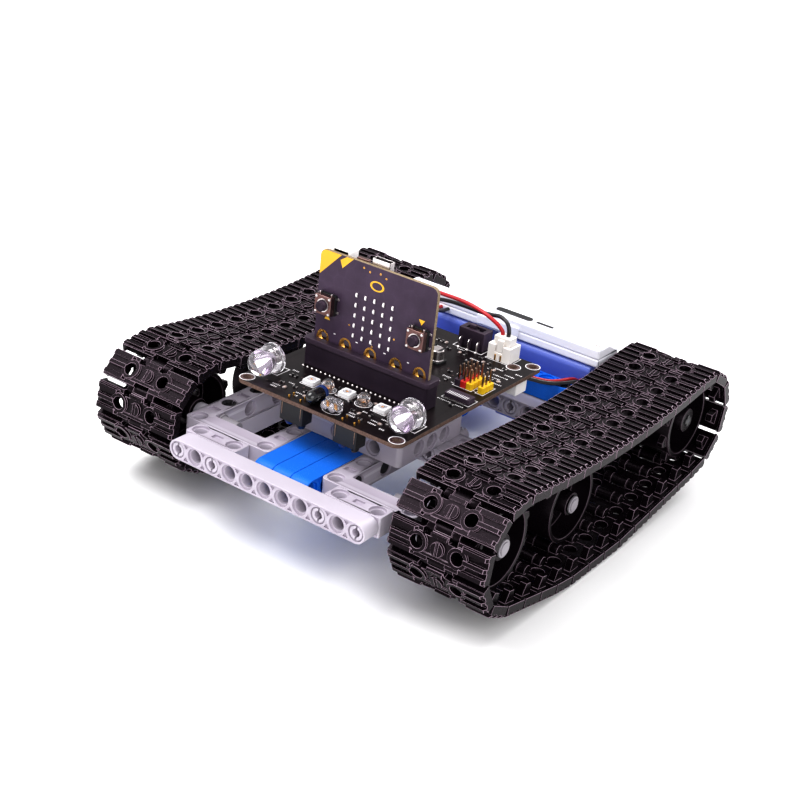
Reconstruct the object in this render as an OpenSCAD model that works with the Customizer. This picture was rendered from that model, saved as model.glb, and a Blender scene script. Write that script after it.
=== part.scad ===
// Tracked robot chassis: a brick-system frame on two plastic link tracks, each driven
// by its own gearmotor, with a battery box, a main board and a plug-in controller board.
// +Z is up, the front faces -Y, and the origin is the middle of the footprint.

/* [Building system] */
// Distance between neighbouring holes
unit = 8; // [7.9:0.1:8]
// Width and height of a beam
beam_w = 7.8; // [7.6:0.05:7.8]
// Diameter of a pin hole
hole_d = 4.9; // [4.85:0.01:4.95]
// Diameter of the shallow rim around a pin hole
rim_d = 6.2; // [6.1:0.05:6.4]
// Depth of that rim
rim_depth = 0.9; // [0.8:0.05:1]
// Diameter of a pin
pin_d = 4.8; // [4.7:0.01:4.8]

/* [Tracks] */
// Distance between the two hinges of a track link
pitch = 11.5; // [11.3:0.1:11.7]
// Distance from the middle of the chassis to the middle of a track
track_x = 68; // [68:0.5:70]
// Width of a track link
link_w = 38.6; // [37:0.2:38.6]
// Height of a link's ribs above its hinge line
rib_top = 4.6; // [4.3:0.1:4.8]
// Slope at which the slack upper run leaves the wheels, in degrees
sag_angle = 8; // [2:1:8]

/* [Wheels] */
// Radius of a sprocket's barrel
barrel_r = 15.6; // [15:0.1:15.8]
// Radius at the tips of the sprocket teeth
tooth_r = 18.3; // [17.5:0.1:18.3]
// Radius of the plain middle wheel
mid_wheel_r = 15.2; // [14:0.1:15.4]

/* [Electronics] */
// Width of the main board
board_w = 73.2; // [72:0.2:76]
// Depth of the main board
board_l = 94.4; // [94:0.2:97]
// Height of the main board's underside over the middle of the beams
board_low = 20.4; // [20:0.1:21]
// Width of the plug-in controller board
card_w = 51.6; // [50:0.1:51.8]
// Height of the plug-in controller board
card_h = 42; // [40:0.5:43]
// Diameter of the battery and motor leads
lead_d = 1.6; // [1.2:0.1:1.6]

/* [Hidden] */
$fn = 32;

// Place of the build frame (front beam's face at y 0, beams' middle at z 0) in the part
footprint_y = 93.44;
ground_z = 31.4;

brick_grey = "gainsboro";
bright_blue = "dodgerblue";
deep_blue = "mediumblue";
track_black = [0.10, 0.09, 0.10];
part_black = [0.13, 0.13, 0.14];
board_black = [0.12, 0.10, 0.09];

// Space between two beams that lie side by side
beam_gap = unit - beam_w;
frame_fillet = 2;
pin_lip_d = 5.4;
collar_d = 6;
collar_t = 2 * rim_depth + beam_gap;

// Rows of holes along the chassis, and the wheel centres that use them
front_axle = [3.5 * unit, 0];
rear_axle = [20.5 * unit, 0];
mid_axle = [10.5 * unit, -unit];
rail_x = 6 * unit;
connector_x = 4 * unit;
front_row = 1.5 * unit;
frame_mid = 5.5 * unit;
board_frame_mid = 7.5 * unit;
mid_row = 9.5 * unit;
rear_beam_row = 15.5 * unit;
rear_row = 16.5 * unit;

// ---------------------------------------------------------------- track path
// The hinge line runs: slack upper run, rear wheel, down to the flat, flat, up to the
// front wheel, front wheel. Angles turn from the upper run's rearward direction.
wheel_teeth = 10;
turn = 360 / wheel_teeth;
hinge_r = pitch / (2 * sin(turn / 2));
flat_z = -26.8;
flat_front = 66;
flat_rear = 104;
run_front = front_axle.x + hinge_r * sin(sag_angle);
run_rear = rear_axle.x - hinge_r * sin(sag_angle);
run_z = hinge_r * cos(sag_angle);
run_len = run_rear - run_front;
sag = run_len * tan(sag_angle) / 4;

rear_reach = norm([rear_axle.x - flat_rear, flat_z]);
front_reach = norm([flat_front - front_axle.x, flat_z]);
rear_slope = asin(-flat_z / rear_reach) - asin(hinge_r / rear_reach);
front_slope = asin(-flat_z / front_reach) - asin(hinge_r / front_reach);
rear_line = sqrt(pow(rear_reach, 2) - pow(hinge_r, 2));
front_line = sqrt(pow(front_reach, 2) - pow(hinge_r, 2));
rear_turn = 180 + sag_angle - rear_slope;
front_turn = 180 + sag_angle - front_slope;

run_end = run_len + 8 * sag * sag / (3 * run_len);
rear_turn_end = run_end + pitch * rear_turn / turn;
rear_line_end = rear_turn_end + rear_line;
flat_end = rear_line_end + flat_rear - flat_front;
front_line_end = flat_end + front_line;
loop_len = front_line_end + pitch * front_turn / turn;
links = round(loop_len / pitch);
link_step = loop_len / links;
upper_links = ceil((run_end + pitch) / link_step) + 1;

function on_arc(axle, angle) = axle + hinge_r * [-sin(angle), cos(angle)];
function along(a, b, t) = a + (b - a) * t;
rear_low = on_arc(rear_axle, rear_slope - 180);
front_low = on_arc(front_axle, -180 - front_slope);
// Hinge place (y, z) at a distance along the loop
function hinge_at(s) =
    s < 0 ? hinge_at(s + loop_len) :
    s < run_end ? let (t = s / run_end)
        [run_front + run_len * t, run_z - 4 * sag * t * (1 - t)] :
    s < rear_turn_end ? on_arc(rear_axle, sag_angle - turn * (s - run_end) / pitch) :
    s < rear_line_end ? along(rear_low, [flat_rear, flat_z], (s - rear_turn_end) / rear_line) :
    s < flat_end ? [flat_rear - (s - rear_line_end), flat_z] :
    s < front_line_end ? along([flat_front, flat_z], front_low, (s - flat_end) / front_line) :
    on_arc(front_axle, -180 - front_slope - turn * (s - front_line_end) / pitch);

link_half = pitch / 2 - 0.35;
plate_low = 1;
plate_t = 2.2;
knuckle_r = 2.1;

// ---------------------------------------------------------------- lead routes
// Hand-laid points of each lead, from the box or socket that it leaves
battery_route_red = [[-28, 144.1, 19.4], [-28, 140, 19.8], [-27.6, 135, 22.4],
    [-26.6, 130, 27], [-24, 125, 32], [-18.5, 121, 35.6], [-10, 118.2, 37.2], [-1, 116.4, 38],
    [6, 115.2, 37.8], [12, 114.4, 36.8], [17, 114, 35], [19.6, 114, 33], [20, 114, 31.62]];
battery_route_black = [[-24.6, 144.1, 19.4], [-24.6, 140, 19.8], [-24.4, 135, 21.6],
    [-23.4, 130, 25], [-20.6, 125.8, 29.2], [-15.6, 122.6, 32.4], [-8, 120.2, 34.4],
    [0, 118.8, 35.2], [7, 117.8, 35.6], [12, 117, 36.4], [17, 116, 37.4], [21, 114.8, 36.2], [22.5, 114.1, 33.6],
    [22.5, 114, 31.62]];
motor_route_red = [[28.6, 111.1, 17.4], [28.8, 115, 17.2], [30, 119, 16], [32.4, 123, 14.4],
    [35.4, 127, 13.2], [38.2, 131, 13], [40, 135, 13], [40.8, 138.4, 12.2], [41, 141.4, 10.6],
    [41, 143.8, 10.2]];
motor_route_black = [[31.2, 111.1, 17.4], [31.4, 115, 17], [32.8, 119, 15.6], [35, 123, 14],
    [37.8, 127, 13.1], [40.6, 131, 13], [42.6, 135, 12.9], [43, 138.2, 11.8], [43, 141.2, 8.9],
    [43, 143.8, 8.3]];

// Smooth curve through a route, as a list of points
steps = 2;
function pick(p, i) = p[max(0, min(len(p) - 1, i))];
function curve_point(a, b, c, d, t) = 0.5 * (2 * b + (c - a) * t
    + (2 * a - 5 * b + 4 * c - d) * t * t + (3 * b - a - 3 * c + d) * t * t * t);
function smooth(p) = concat([for (i = [0 : len(p) - 2], k = [0 : steps - 1])
    curve_point(pick(p, i - 1), p[i], p[i + 1], pick(p, i + 2), k / steps)], [p[len(p) - 1]]);
function unit_vector(v) = v / norm(v);

// ---------------------------------------------------------------- electronics places
board_t = 1.6;
board_top = board_low + board_t;
board_mid = 72.4;
card_y = 56.6;
card_t = 1.6;
card_low = 25.4;
card_top = card_low + card_h;
socket_top = 33;
button_x = 20.5;
button_z = 47.6;
button_d = 3.8;
case_w = 7.4;
case_t = 3.6;
plunger_clear = 0.15;
reset_place = [-8.4, card_y + card_t / 2, card_top - 1.2];
tray_low = 17.2;
lid_low = 20.6;
lid_top = 24.8;
box_front = 18 * unit;
box_rear = 23 * unit;
case_rear = 20 * unit - 0.1;
box_half = 47;
box_wall = 1.3;
cell_size = [42, 8.4, 2.6];
plug_top = 31.6;

// ---------------------------------------------------------------- shared shapes
module placed(tint) {
    color(tint) translate([0, -footprint_y, ground_z]) children();
}

// The right-hand side as drawn, or its mirror image on the left
module on_side(side) {
    if (side < 0) mirror([1, 0, 0]) children();
    else children();
}

module along_x() {
    rotate([0, 90, 0]) children();
}

module along_y() {
    rotate([-90, 0, 0]) children();
}

module rounded(size, radius) {
    offset(r = radius) square(size - 2 * radius * [1, 1], center = true);
}

// A box from one corner to the opposite one
module span(low, high) {
    translate(low) cube(high - low);
}

// Hole for a pin along Z, with a shallow rim at both faces
module pin_hole(length = beam_w) {
    cylinder(d = hole_d, h = length + 0.2, center = true);
    for (end = [-1, 1])
        translate([0, 0, end * length / 2])
            cylinder(d = rim_d, h = 2 * rim_depth, center = true);
}

// Small triangular hollows between two holes, on both faces of a beam
module web_hollows() {
    for (face = [-1, 1], edge = [-1, 1])
        translate([0, 0, face * beam_w / 2])
            linear_extrude(height = 1.2, center = true)
                polygon([[-1.15, edge * 3.1], [1.15, edge * 3.1], [0, edge * 1.5]]);
}

// Straight beam along X with round ends and holes along Z
module beam(count) {
    length = (count - 1) * unit;
    difference() {
        linear_extrude(height = beam_w, center = true) {
            square([length, beam_w], center = true);
            for (end = [-1, 1]) translate([end * length / 2, 0]) circle(d = beam_w);
        }
        for (i = [0 : count - 1]) translate([i * unit - length / 2, 0, 0]) pin_hole();
        for (i = [0.5 : count - 1.5]) translate([i * unit - length / 2, 0, 0]) web_hollows();
    }
}

// Straight beam along Y whose holes turn by a right angle from one to the next
module alternating_beam(count) {
    length = (count - 1) * unit;
    difference() {
        linear_extrude(height = beam_w, center = true)
            rounded([beam_w, length + beam_w], frame_fillet);
        for (i = [0 : count - 1]) translate([0, i * unit - length / 2, 0]) {
            if (i % 2 == 0) pin_hole();
            else along_x() pin_hole();
        }
    }
}

// Open frame, five holes wide along X and seven long along Y
module frame() {
    outer = [5 * unit - beam_gap, 7 * unit - beam_gap];
    inner = [3 * unit + beam_gap, 5 * unit + beam_gap];
    difference() {
        linear_extrude(height = beam_w, center = true) difference() {
            rounded(outer, frame_fillet);
            rounded(inner, 0.8);
        }
        for (leg = [-2, 2]) {
            for (row = [-3, -1, 1, 3]) translate([leg * unit, row * unit, 0]) pin_hole();
            for (row = [-2, 0, 2]) translate([leg * unit, row * unit, 0]) {
                along_x() pin_hole();
                for (face = [-1, 1]) translate([0, 0, face * beam_w / 2])
                    cube([4.4, 3, 1.6], center = true);
            }
        }
        for (leg = [-3, 3], column = [-1 : 1])
            translate([column * unit, leg * unit, 0]) along_y() pin_hole();
    }
}

// End of a pin that points along +Z from its beam face: split, hollow, with a small lip
module pin_end(length) {
    difference() {
        union() {
            cylinder(d = pin_d, h = length);
            if (length > unit / 2)
                translate([0, 0, length - 0.6]) cylinder(d = pin_lip_d, h = 0.6);
        }
        translate([0, 0, length - 5]) cylinder(d = 3, h = 6);
        translate([0, 0, length]) cube([0.8, 7, 5.4], center = true);
    }
}

// Pin along Z between two beams that meet at z = 0
module pin(below = 7.6, above = 7.6) {
    cylinder(d = collar_d, h = collar_t, center = true);
    pin_end(above);
    mirror([0, 0, 1]) pin_end(below);
}

// Straight rod along X that ties beams side by side, with a collar at each meeting
module tie_rod(beams) {
    along_x() {
        cylinder(d = pin_d, h = beams * unit - 1, center = true);
        for (i = [1 : beams - 1]) translate([0, 0, (i - beams / 2) * unit])
            cylinder(d = collar_d, h = collar_t, center = true);
    }
}

// Block three holes wide along X, with pins along Y on both faces and upright holes
module connector() {
    difference() {
        linear_extrude(height = beam_w, center = true)
            rounded([3 * unit - beam_gap, beam_w], 0.8);
        for (column = [-1, 1]) translate([column * unit, 0, 0]) pin_hole();
        for (face = [-1, 1]) translate([0, 0, face * beam_w / 2])
            cube([4, 2.6, 1.6], center = true);
    }
    for (column = [-1, 1]) translate([column * unit, 0, 0]) for (face = [0, 180])
        rotate([0, 0, face]) translate([0, beam_w / 2, 0]) along_y() {
            cylinder(d = collar_d, h = rim_depth + beam_gap);
            pin_end(unit - beam_gap - 0.1);
        }
}

// ---------------------------------------------------------------- frame pieces
module front_beam() {
    placed(brick_grey) translate([0, unit / 2, 0]) rotate([90, 0, 0]) beam(11);
}

module rear_beam() {
    placed(brick_grey) translate([0, rear_beam_row, 0]) rotate([90, 0, 0]) beam(11);
}

module front_connector(side) {
    placed(brick_grey) translate([side * connector_x, front_row, 0]) connector();
}

module rear_connector(side) {
    placed(brick_grey) translate([side * connector_x, rear_row, 0]) connector();
}

// They carry the rear corners of the board frame
module mid_connectors() {
    placed(brick_grey) for (side = [-1, 1])
        translate([side * connector_x, mid_row, 0]) connector();
}

module front_frame(side) {
    placed(brick_grey) translate([side * connector_x, frame_mid, 0]) frame();
}

module board_frame() {
    placed(brick_grey) translate([0, board_frame_mid, unit]) rotate([0, 0, 90]) frame();
}

module blue_beam(column) {
    placed(bright_blue) translate([column * unit, 7.5 * unit, 0])
        rotate([0, 90, 0]) rotate([0, 0, 90]) beam(13);
}

module cyan_beam() {
    placed(bright_blue) translate([0, rear_row, unit]) beam(11);
}

module lower_rail(side) {
    placed(brick_grey) translate([side * rail_x, 6.5 * unit, -unit])
        rotate([0, 0, 90]) beam(7);
}

module upper_rail(side) {
    placed(brick_grey) translate([side * rail_x, 15.5 * unit, 0]) alternating_beam(13);
}

// They hold the middle wheels' pins under the rails
module axle_blocks() {
    placed(brick_grey) for (side = [-1, 1])
        translate([side * rail_x, 11 * unit, -unit]) difference() {
            linear_extrude(height = beam_w, center = true)
                rounded([beam_w, 2 * unit - beam_gap], frame_fillet);
            translate([0, -unit / 2, 0]) along_x() pin_hole();
            translate([0, unit / 2, 0]) pin_hole();
        }
}

module beam_pins() {
    placed(part_black) {
        for (side = [-1, 1]) {
            for (row = [4.5, 6.5, 8.5, 9.5, 11.5])
                translate([side * rail_x, row * unit, -unit / 2]) pin();
            for (column = [3, 5])
                translate([side * column * unit, rear_row, unit / 2]) pin();
            translate([side * 3 * unit, mid_row, unit / 2]) pin(7.6, 3.4);
            translate([side * 5.5 * unit, 18.5 * unit, 0]) along_x() pin();
        }
        for (row = [3.5, 5.5, 7.5]) translate([0, row * unit, 0]) tie_rod(5);
        for (row = [11.5, 13.5]) translate([0, row * unit, 0]) tie_rod(3);
    }
}

// ---------------------------------------------------------------- wheels
// Fixed pin of an idle wheel along +X, from its inner end to its head
module wheel_pin(inner, outer) {
    translate([inner, 0, 0]) along_x() cylinder(d = pin_d, h = outer - inner);
    translate([5.5 * unit - 0.8, 0, 0]) along_x()
        cylinder(d = collar_d, h = 0.8 + beam_gap / 2 + rim_depth);
    translate([outer, 0, 0]) along_x() {
        cylinder(d = 6.6, h = 0.7);
        cylinder(d = 5, h = 1.1);
    }
}

module wheel_pins() {
    placed("darkgray") for (side = [-1, 1]) on_side(side) {
        translate([0, front_axle.x, front_axle.y]) wheel_pin(36, 80.2);
        translate([0, mid_axle.x, mid_axle.y]) wheel_pin(43, 75.3);
    }
}

module spacer_bushes() {
    placed(brick_grey) for (side = [-1, 1]) on_side(side)
        translate([rail_x + beam_w / 2, front_axle.x, 0]) along_x() difference() {
            cylinder(d = 7.4, h = 3.8);
            translate([0, 0, -0.1]) cylinder(d = hole_d, h = 4);
        }
}

module plus_outline(size) {
    square([size, 1.9], center = true);
    square([1.9, size], center = true);
}

// Sprocket along Z, with its outer face up
module sprocket(driven) {
    half = 11.9;
    hub_low = driven ? 52.3 - track_x : -half;
    difference() {
        union() {
            difference() {
                cylinder(r = barrel_r, h = 2 * half, center = true);
                cylinder(r = barrel_r - 1.7, h = 2 * half + 1, center = true);
            }
            cylinder(r = barrel_r - 1, h = 3, center = true);
            translate([0, 0, hub_low]) cylinder(r = 4.8, h = half - hub_low);
            for (a = [0 : turn : 359], ring = [-11, 8.5])
                rotate([0, 0, a]) translate([0, 0, ring]) linear_extrude(height = 2.5)
                    polygon([[barrel_r - 0.8, -2.9], [barrel_r + 0.9, -2.2], [tooth_r, -1],
                        [tooth_r, 1], [barrel_r + 0.9, 2.2], [barrel_r - 0.8, 2.9]]);
        }
        for (a = [30 : 60 : 359])
            rotate([0, 0, a]) translate([9.4, 0, 0]) cylinder(d = 5, h = 5, center = true);
        if (driven) linear_extrude(height = 40, center = true) plus_outline(pin_d + 0.1);
        else cylinder(d = hole_d, h = 40, center = true);
    }
}

module wheel_at(side, axle) {
    on_side(side) translate([track_x, axle.x, axle.y]) along_x() children();
}

module rear_sprocket(side) {
    placed(track_black) wheel_at(side, rear_axle) sprocket(true);
}

module front_sprocket(side) {
    placed(track_black) wheel_at(side, front_axle) sprocket(false);
}

// Cross-shaped axle from inside the gearmotor to the sprocket's outer face
module rear_axle_rod(side) {
    placed(part_black) wheel_at(side, rear_axle) translate([0, 0, -34]) intersection() {
        linear_extrude(height = 46.4) plus_outline(pin_d + 1);
        cylinder(d = pin_d, h = 46.4);
    }
}

module mid_wheel(side) {
    placed(track_black) wheel_at(side, mid_axle) difference() {
        union() {
            difference() {
                cylinder(r = mid_wheel_r, h = 14, center = true);
                cylinder(r = mid_wheel_r - 1.6, h = 15, center = true);
            }
            translate([0, 0, -2]) cylinder(r = mid_wheel_r - 1, h = 2.4, center = true);
            translate([0, 0, -12]) cylinder(r = 4.4, h = 19);
        }
        for (a = [0 : 60 : 359])
            rotate([0, 0, a]) translate([9, 0, -2]) cylinder(d = 4.6, h = 5, center = true);
        cylinder(d = hole_d, h = 40, center = true);
    }
}

// ---------------------------------------------------------------- tracks
// One link: X across the track, Y along it, Z outward, hinges at y = +-pitch / 2, z = 0
module link_plate() {
    notch = 2 * (link_half - pitch / 2 + knuckle_r + 0.4);
    translate([0, 0, plate_low]) linear_extrude(height = plate_t) difference() {
        square([link_w, 2 * link_half], center = true);
        translate([0, -link_half]) square([7, notch], center = true);
        for (side = [-1, 1])
            translate([side * 5.1, link_half]) square([3.5, notch], center = true);
    }
}

module link() {
    edge = link_w / 2;
    rib_low = plate_low + plate_t - 0.2;
    difference() {
        union() {
            link_plate();
            for (side = [-1, 1]) {
                for (place = [-1, 0, 1]) translate([0, place * 3.9, 0]) rotate([90, 0, 0])
                    linear_extrude(height = 1.6, center = true)
                        polygon([[side * 8.6, rib_low], [side * 9.4, rib_top],
                            [side * (edge - 0.9), rib_top], [side * edge, rib_top - 0.9],
                            [side * edge, rib_low]]);
                translate([side * unit, 0, rib_low]) cylinder(d = 7.6, h = 1.2);
                translate([side * 5, -pitch / 2, 0]) along_x()
                    cylinder(r = knuckle_r, h = 3, center = true);
                translate([side * 15, 0, 0]) along_x() linear_extrude(height = 2.6, center = true)
                    polygon([[-1.4, -3], [3.4, -1.4], [3.4, 1.4], [-1.4, 3]]);
                translate([side * (edge - 0.5), 0, 0.6]) cube([1, 2 * link_half, 1.2], center = true);
            }
            translate([0, pitch / 2, 0]) along_x()
                cylinder(r = knuckle_r, h = 6.4, center = true);
            translate([0, 0, rib_low]) cylinder(d = 5, h = 1.4);
            translate([0, 4.5, rib_low + 0.6]) cube([6.4, 1.3, 1.2], center = true);
            translate([0, -3.2, rib_low + 0.3]) cube([12.6, 1.2, 0.8], center = true);
        }
        for (side = [-1, 1])
            translate([side * unit, 0, 0]) cylinder(d = hole_d, h = 12, center = true);
        translate([0, 0, rib_top]) cube([1, 6, 1.6], center = true);
    }
}

module track(side, first, last) {
    placed(track_black) for (i = [first : last]) {
        a = hinge_at((i - 1) * link_step);
        b = hinge_at(i * link_step);
        middle = (a + b) / 2;
        translate([side * track_x, middle.x, middle.y])
            rotate([atan2(b.y - a.y, b.x - a.x), 0, 0]) link();
    }
}

// ---------------------------------------------------------------- drive
// Gearmotor housing on the right, its output at the rear axle
module motor(side) {
    inner = 4;
    outer = 5.5 * unit - 0.1;
    low = -19;
    high = 17;
    placed(deep_blue) on_side(side) difference() {
        union() {
            translate([inner, (box_front + box_rear) / 2, (low + high) / 2]) along_x()
                linear_extrude(height = outer - inner)
                    rounded([high - low, box_rear - box_front], 3);
            span([20.1, rear_row + 4.1, -beam_w / 2], [outer, box_front + 2, beam_w / 2]);
            for (row = [151 : 8 : 179])
                span([inner + 3, row, low - 0.6], [outer - 3, row + 2, low + 1]);
        }
        for (column = [3, 5]) translate([column * unit, rear_row + 4.1, 0]) along_y() {
            translate([0, 0, -0.1]) cylinder(d = hole_d, h = 8);
            translate([0, 0, -0.1]) cylinder(d = rim_d, h = rim_depth + 0.1);
            translate([0, 0, 6.7]) cylinder(d = rim_d, h = 1.3);
        }
        translate([outer, 18.5 * unit, 0]) along_x() {
            cylinder(d = hole_d, h = 17, center = true);
            cylinder(d = rim_d, h = 2 * rim_depth, center = true);
            translate([0, 0, -8.5]) cylinder(d = rim_d, h = 1.7);
        }
        translate([outer, rear_axle.x, 0]) along_x() cylinder(d = hole_d, h = 22, center = true);
        span([inner + 4, box_rear - 0.8, -15], [outer - 4, box_rear + 1, 3]);
        translate([inner - 1, 0, 0]) along_x() linear_extrude(height = outer)
            polygon([[-7, box_rear + 0.1], [-18, box_rear + 0.1], [-18, box_front + 18]]);
    }
}

// ---------------------------------------------------------------- boards
module main_board() {
    placed(board_black) translate([0, board_mid, board_low]) linear_extrude(height = board_t)
        difference() {
            rounded([board_w, board_l], 3.5);
            for (x = [-33.6, 33.6], y = [-44, 44]) translate([x, y]) circle(d = 3.2);
            translate([28.6, 38]) circle(d = 3.2);
        }
}

module board_posts() {
    placed("silver") for (x = [-3, 3], row = [5.5, 9.5]) translate([x * unit, row * unit, 0]) {
        top_face = unit + beam_w / 2;
        translate([0, 0, top_face - 3.8]) cylinder(d = pin_d, h = 4);
        translate([0, 0, top_face - rim_depth]) cylinder(d = collar_d, h = rim_depth + 0.6);
        translate([0, 0, top_face]) cylinder(d = 6.6, h = board_low - top_face);
    }
}

module edge_connector() {
    placed(part_black) difference() {
        translate([0, card_y, board_top]) {
            linear_extrude(height = socket_top - board_top - 2) rounded([55.2, 7.4], 0.8);
            translate([0, 0, socket_top - board_top - 2.2])
                linear_extrude(height = 2.2) rounded([56.4, 8.4], 1.6);
        }
        span([-card_w / 2 - 0.1, card_y - card_t / 2 - 0.1, card_low],
            [card_w / 2 + 0.1, card_y + card_t / 2 + 0.1, socket_top + 1]);
    }
}

module controller_board() {
    placed(board_black) translate([0, card_y + card_t / 2, 0]) rotate([90, 0, 0])
        linear_extrude(height = card_t) difference() {
            translate([0, card_low + card_h / 2]) rounded([card_w, card_h], 2.6);
            for (x = [-21.9, -11.4, 0, 11.4, 21.9]) translate([x, card_low + 8.6]) circle(d = 3.9);
        }
}

// Metal cases of the two front buttons and the rear reset button
module button_cases() {
    front = card_y - card_t / 2;
    placed("silver") {
        for (x = [-button_x, button_x]) difference() {
            span([x - case_w / 2, front - case_t, button_z - case_w / 2],
                [x + case_w / 2, front, button_z + case_w / 2]);
            translate([x, front - case_t / 2 - 1, button_z]) along_y()
                cylinder(d = button_d + 2 * plunger_clear, h = case_t, center = true);
        }
        difference() {
            span(reset_place - [2.6, 0, 1.8], reset_place + [2.6, 1.8, 1.8]);
            translate(reset_place + [0, 1.6, 0]) along_y()
                cylinder(d = 2 + 2 * plunger_clear, h = 2, center = true);
        }
    }
}

module button(x) {
    face = card_y - card_t / 2 - case_t;
    placed(part_black) translate([x, face, button_z]) rotate([90, 0, 0]) {
        translate([0, 0, -1.8]) cylinder(d = button_d, h = 3.4);
        translate([0, 0, 1.5]) cylinder(d1 = button_d, d2 = button_d - 0.6, h = 0.4);
    }
}

module reset_button() {
    placed(part_black) translate(reset_place + [0, 1.1, 0]) along_y() cylinder(d = 2, h = 1.3);
}

module switch_body() {
    placed(part_black) difference() {
        union() {
            span([1.4, 112.2, board_top], [13, 118.6, 29.6]);
            for (x = [3.2, 7.2, 11.2]) span([x - 0.5, 111, board_top], [x + 0.5, 112.6, 25.4]);
        }
        span([3.4, 113.8, 26.4], [11, 117, 30]);
    }
}

module switch_lever() {
    placed(part_black) {
        span([3.8, 114.1, 26.7], [8.2, 116.7, 28.9]);
        span([4.6, 114.4, 28.6], [7.2, 116.4, 30.8]);
    }
}

module power_socket() {
    placed("ivory") difference() {
        span([16.4, 110.2, board_top], [26.4, 118, 28.4]);
        span([17.6, 111.4, 23.4], [25.2, 116.8, 29]);
        span([19.6, 109.4, 25.4], [23, 112.4, 29]);
    }
}

// Plug on the battery leads, seated in its socket
module power_plug() {
    placed("white") {
        span([17.8, 111.6, 23.4], [25, 116.6, plug_top]);
        span([19.9, 110.6, 25.6], [22.7, 111.8, 30.4]);
    }
}

// Clear round lamps that lie on the front corners of the main board and face forward
module headlights() {
    placed("azure") for (place = [[-30.2, 38.6], [31.6, 39.8]])
        translate([place.x, place.y, 27.7]) {
            rotate([90, 0, 0]) rotate_extrude() {
                square([5, 7]);
                square([5.7, 1.2]);
                intersection() {
                    translate([0, 6.9]) circle(r = 5);
                    translate([0, 6.9]) square([5, 5]);
                }
            }
            for (x = [-1.3, 1.3]) {
                span([x - 0.3, -0.4, -0.3], [x + 0.3, 2.2, 0.3]);
                span([x - 0.3, 1.6, -5.7], [x + 0.3, 2.2, 0.3]);
            }
        }
}

// Two reflective line sensors that hang under the front edge
module line_sensors() {
    placed(part_black) for (x = [-10, 14]) {
        span([x - 5.1, 25.2, 13.4], [x + 5.1, 31, board_low]);
        for (eye = [-2.6, 2.6]) translate([x + eye, 28.1, 12.4]) cylinder(d = 3.4, h = 1.2);
    }
}

module header(x, y, across, rows, top) {
    step = 2.54;
    span([x - across * step / 2, y, board_top],
        [x + across * step / 2, y + rows * step, board_top + 2.5]);
    for (i = [0.5 : across - 0.5], j = [0.5 : rows - 0.5])
        translate([x + (i - across / 2) * step, y + j * step, (board_top + top) / 2])
            cube([0.64, 0.64, top - board_top], center = true);
}

module pin_headers() {
    placed(part_black) {
        header(25.4, 80, 3, 4, 30);
        header(32.8, 80.6, 1, 3, 30);
        span([24.8, 69, board_top], [35.4, 74, board_top + 2.2]);
    }
}

// Sockets of the two motor leads, under the rear corners of the main board
module motor_sockets() {
    placed("ivory") for (side = [-1, 1]) on_side(side) difference() {
        span([25, 103.4, 14.2], [35, 111, board_low]);
        span([26.2, 108.4, 15.4], [28, 112, 16]);
    }
}

// ---------------------------------------------------------------- battery box
// Long box with a flat front strip on top, its lid slopes down to the rear
module box_section() {
    offset(r = 0.8) offset(delta = -0.8)
        polygon([for (p = [[box_front + 0.1, tray_low], [box_front + 0.1, lid_top],
            [box_front + unit, lid_top], [case_rear, lid_top - unit / 2], [case_rear, tray_low]])
            [-p.y, p.x]]);
}

module box_shell(low, high) {
    intersection() {
        along_x() difference() {
            linear_extrude(height = 2 * box_half, center = true) box_section();
            linear_extrude(height = 2 * (box_half - box_wall), center = true)
                offset(delta = -box_wall) box_section();
        }
        span([-box_half - 1, box_front - 1, low], [box_half + 1, case_rear + 1, high]);
    }
}

module battery_tray() {
    placed("white") box_shell(tray_low - 1, lid_low);
}

module battery_lid() {
    placed("whitesmoke") {
        box_shell(lid_low, lid_top + 1);
        translate([10.4, box_front + 4.4, lid_top - 0.4]) linear_extrude(height = 1)
            rounded([28, 4.6], 1.4);
    }
}

module battery_cells() {
    placed("seagreen") for (x = [-22.4, 22.4])
        translate([x, box_front + 6.2, tray_low + box_wall + 0.1]) linear_extrude(height = cell_size.z)
            rounded([cell_size.x, cell_size.y], 1);
}

// ---------------------------------------------------------------- leads
// Round tube swept along a route; the guide direction is never in line with the route
module lead(route, guide) {
    sides = 8;
    line = smooth(route);
    last = len(line) - 1;
    rings = [for (i = [0 : last])
        let (ahead = unit_vector(pick(line, i + 1) - pick(line, i - 1)))
        let (right = unit_vector(cross(ahead, guide)))
        let (up = cross(right, ahead))
        for (k = [0 : sides - 1]) let (a = 360 * k / sides)
            line[i] + lead_d / 2 * (cos(a) * right + sin(a) * up)];
    walls = [for (i = [0 : last - 1], k = [0 : sides - 1])
        let (a = i * sides + k)
        let (b = i * sides + (k + 1) % sides)
        [b, a, a + sides, b + sides]];
    first_cap = [for (k = [0 : sides - 1]) k];
    last_cap = [for (k = [sides - 1 : -1 : 0]) last * sides + k];
    polyhedron(points = rings, faces = concat(walls, [first_cap, last_cap]), convexity = 8);
}

module battery_lead_red() {
    placed("red") lead(battery_route_red, [1, 1, 1]);
}

module battery_lead_black() {
    placed(part_black) lead(battery_route_black, [1, 1, 1]);
}

module motor_lead_red() {
    placed("red") lead(motor_route_red, [1, -1, 1]);
}

module motor_lead_black() {
    placed(part_black) lead(motor_route_black, [1, -1, 1]);
}

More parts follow.
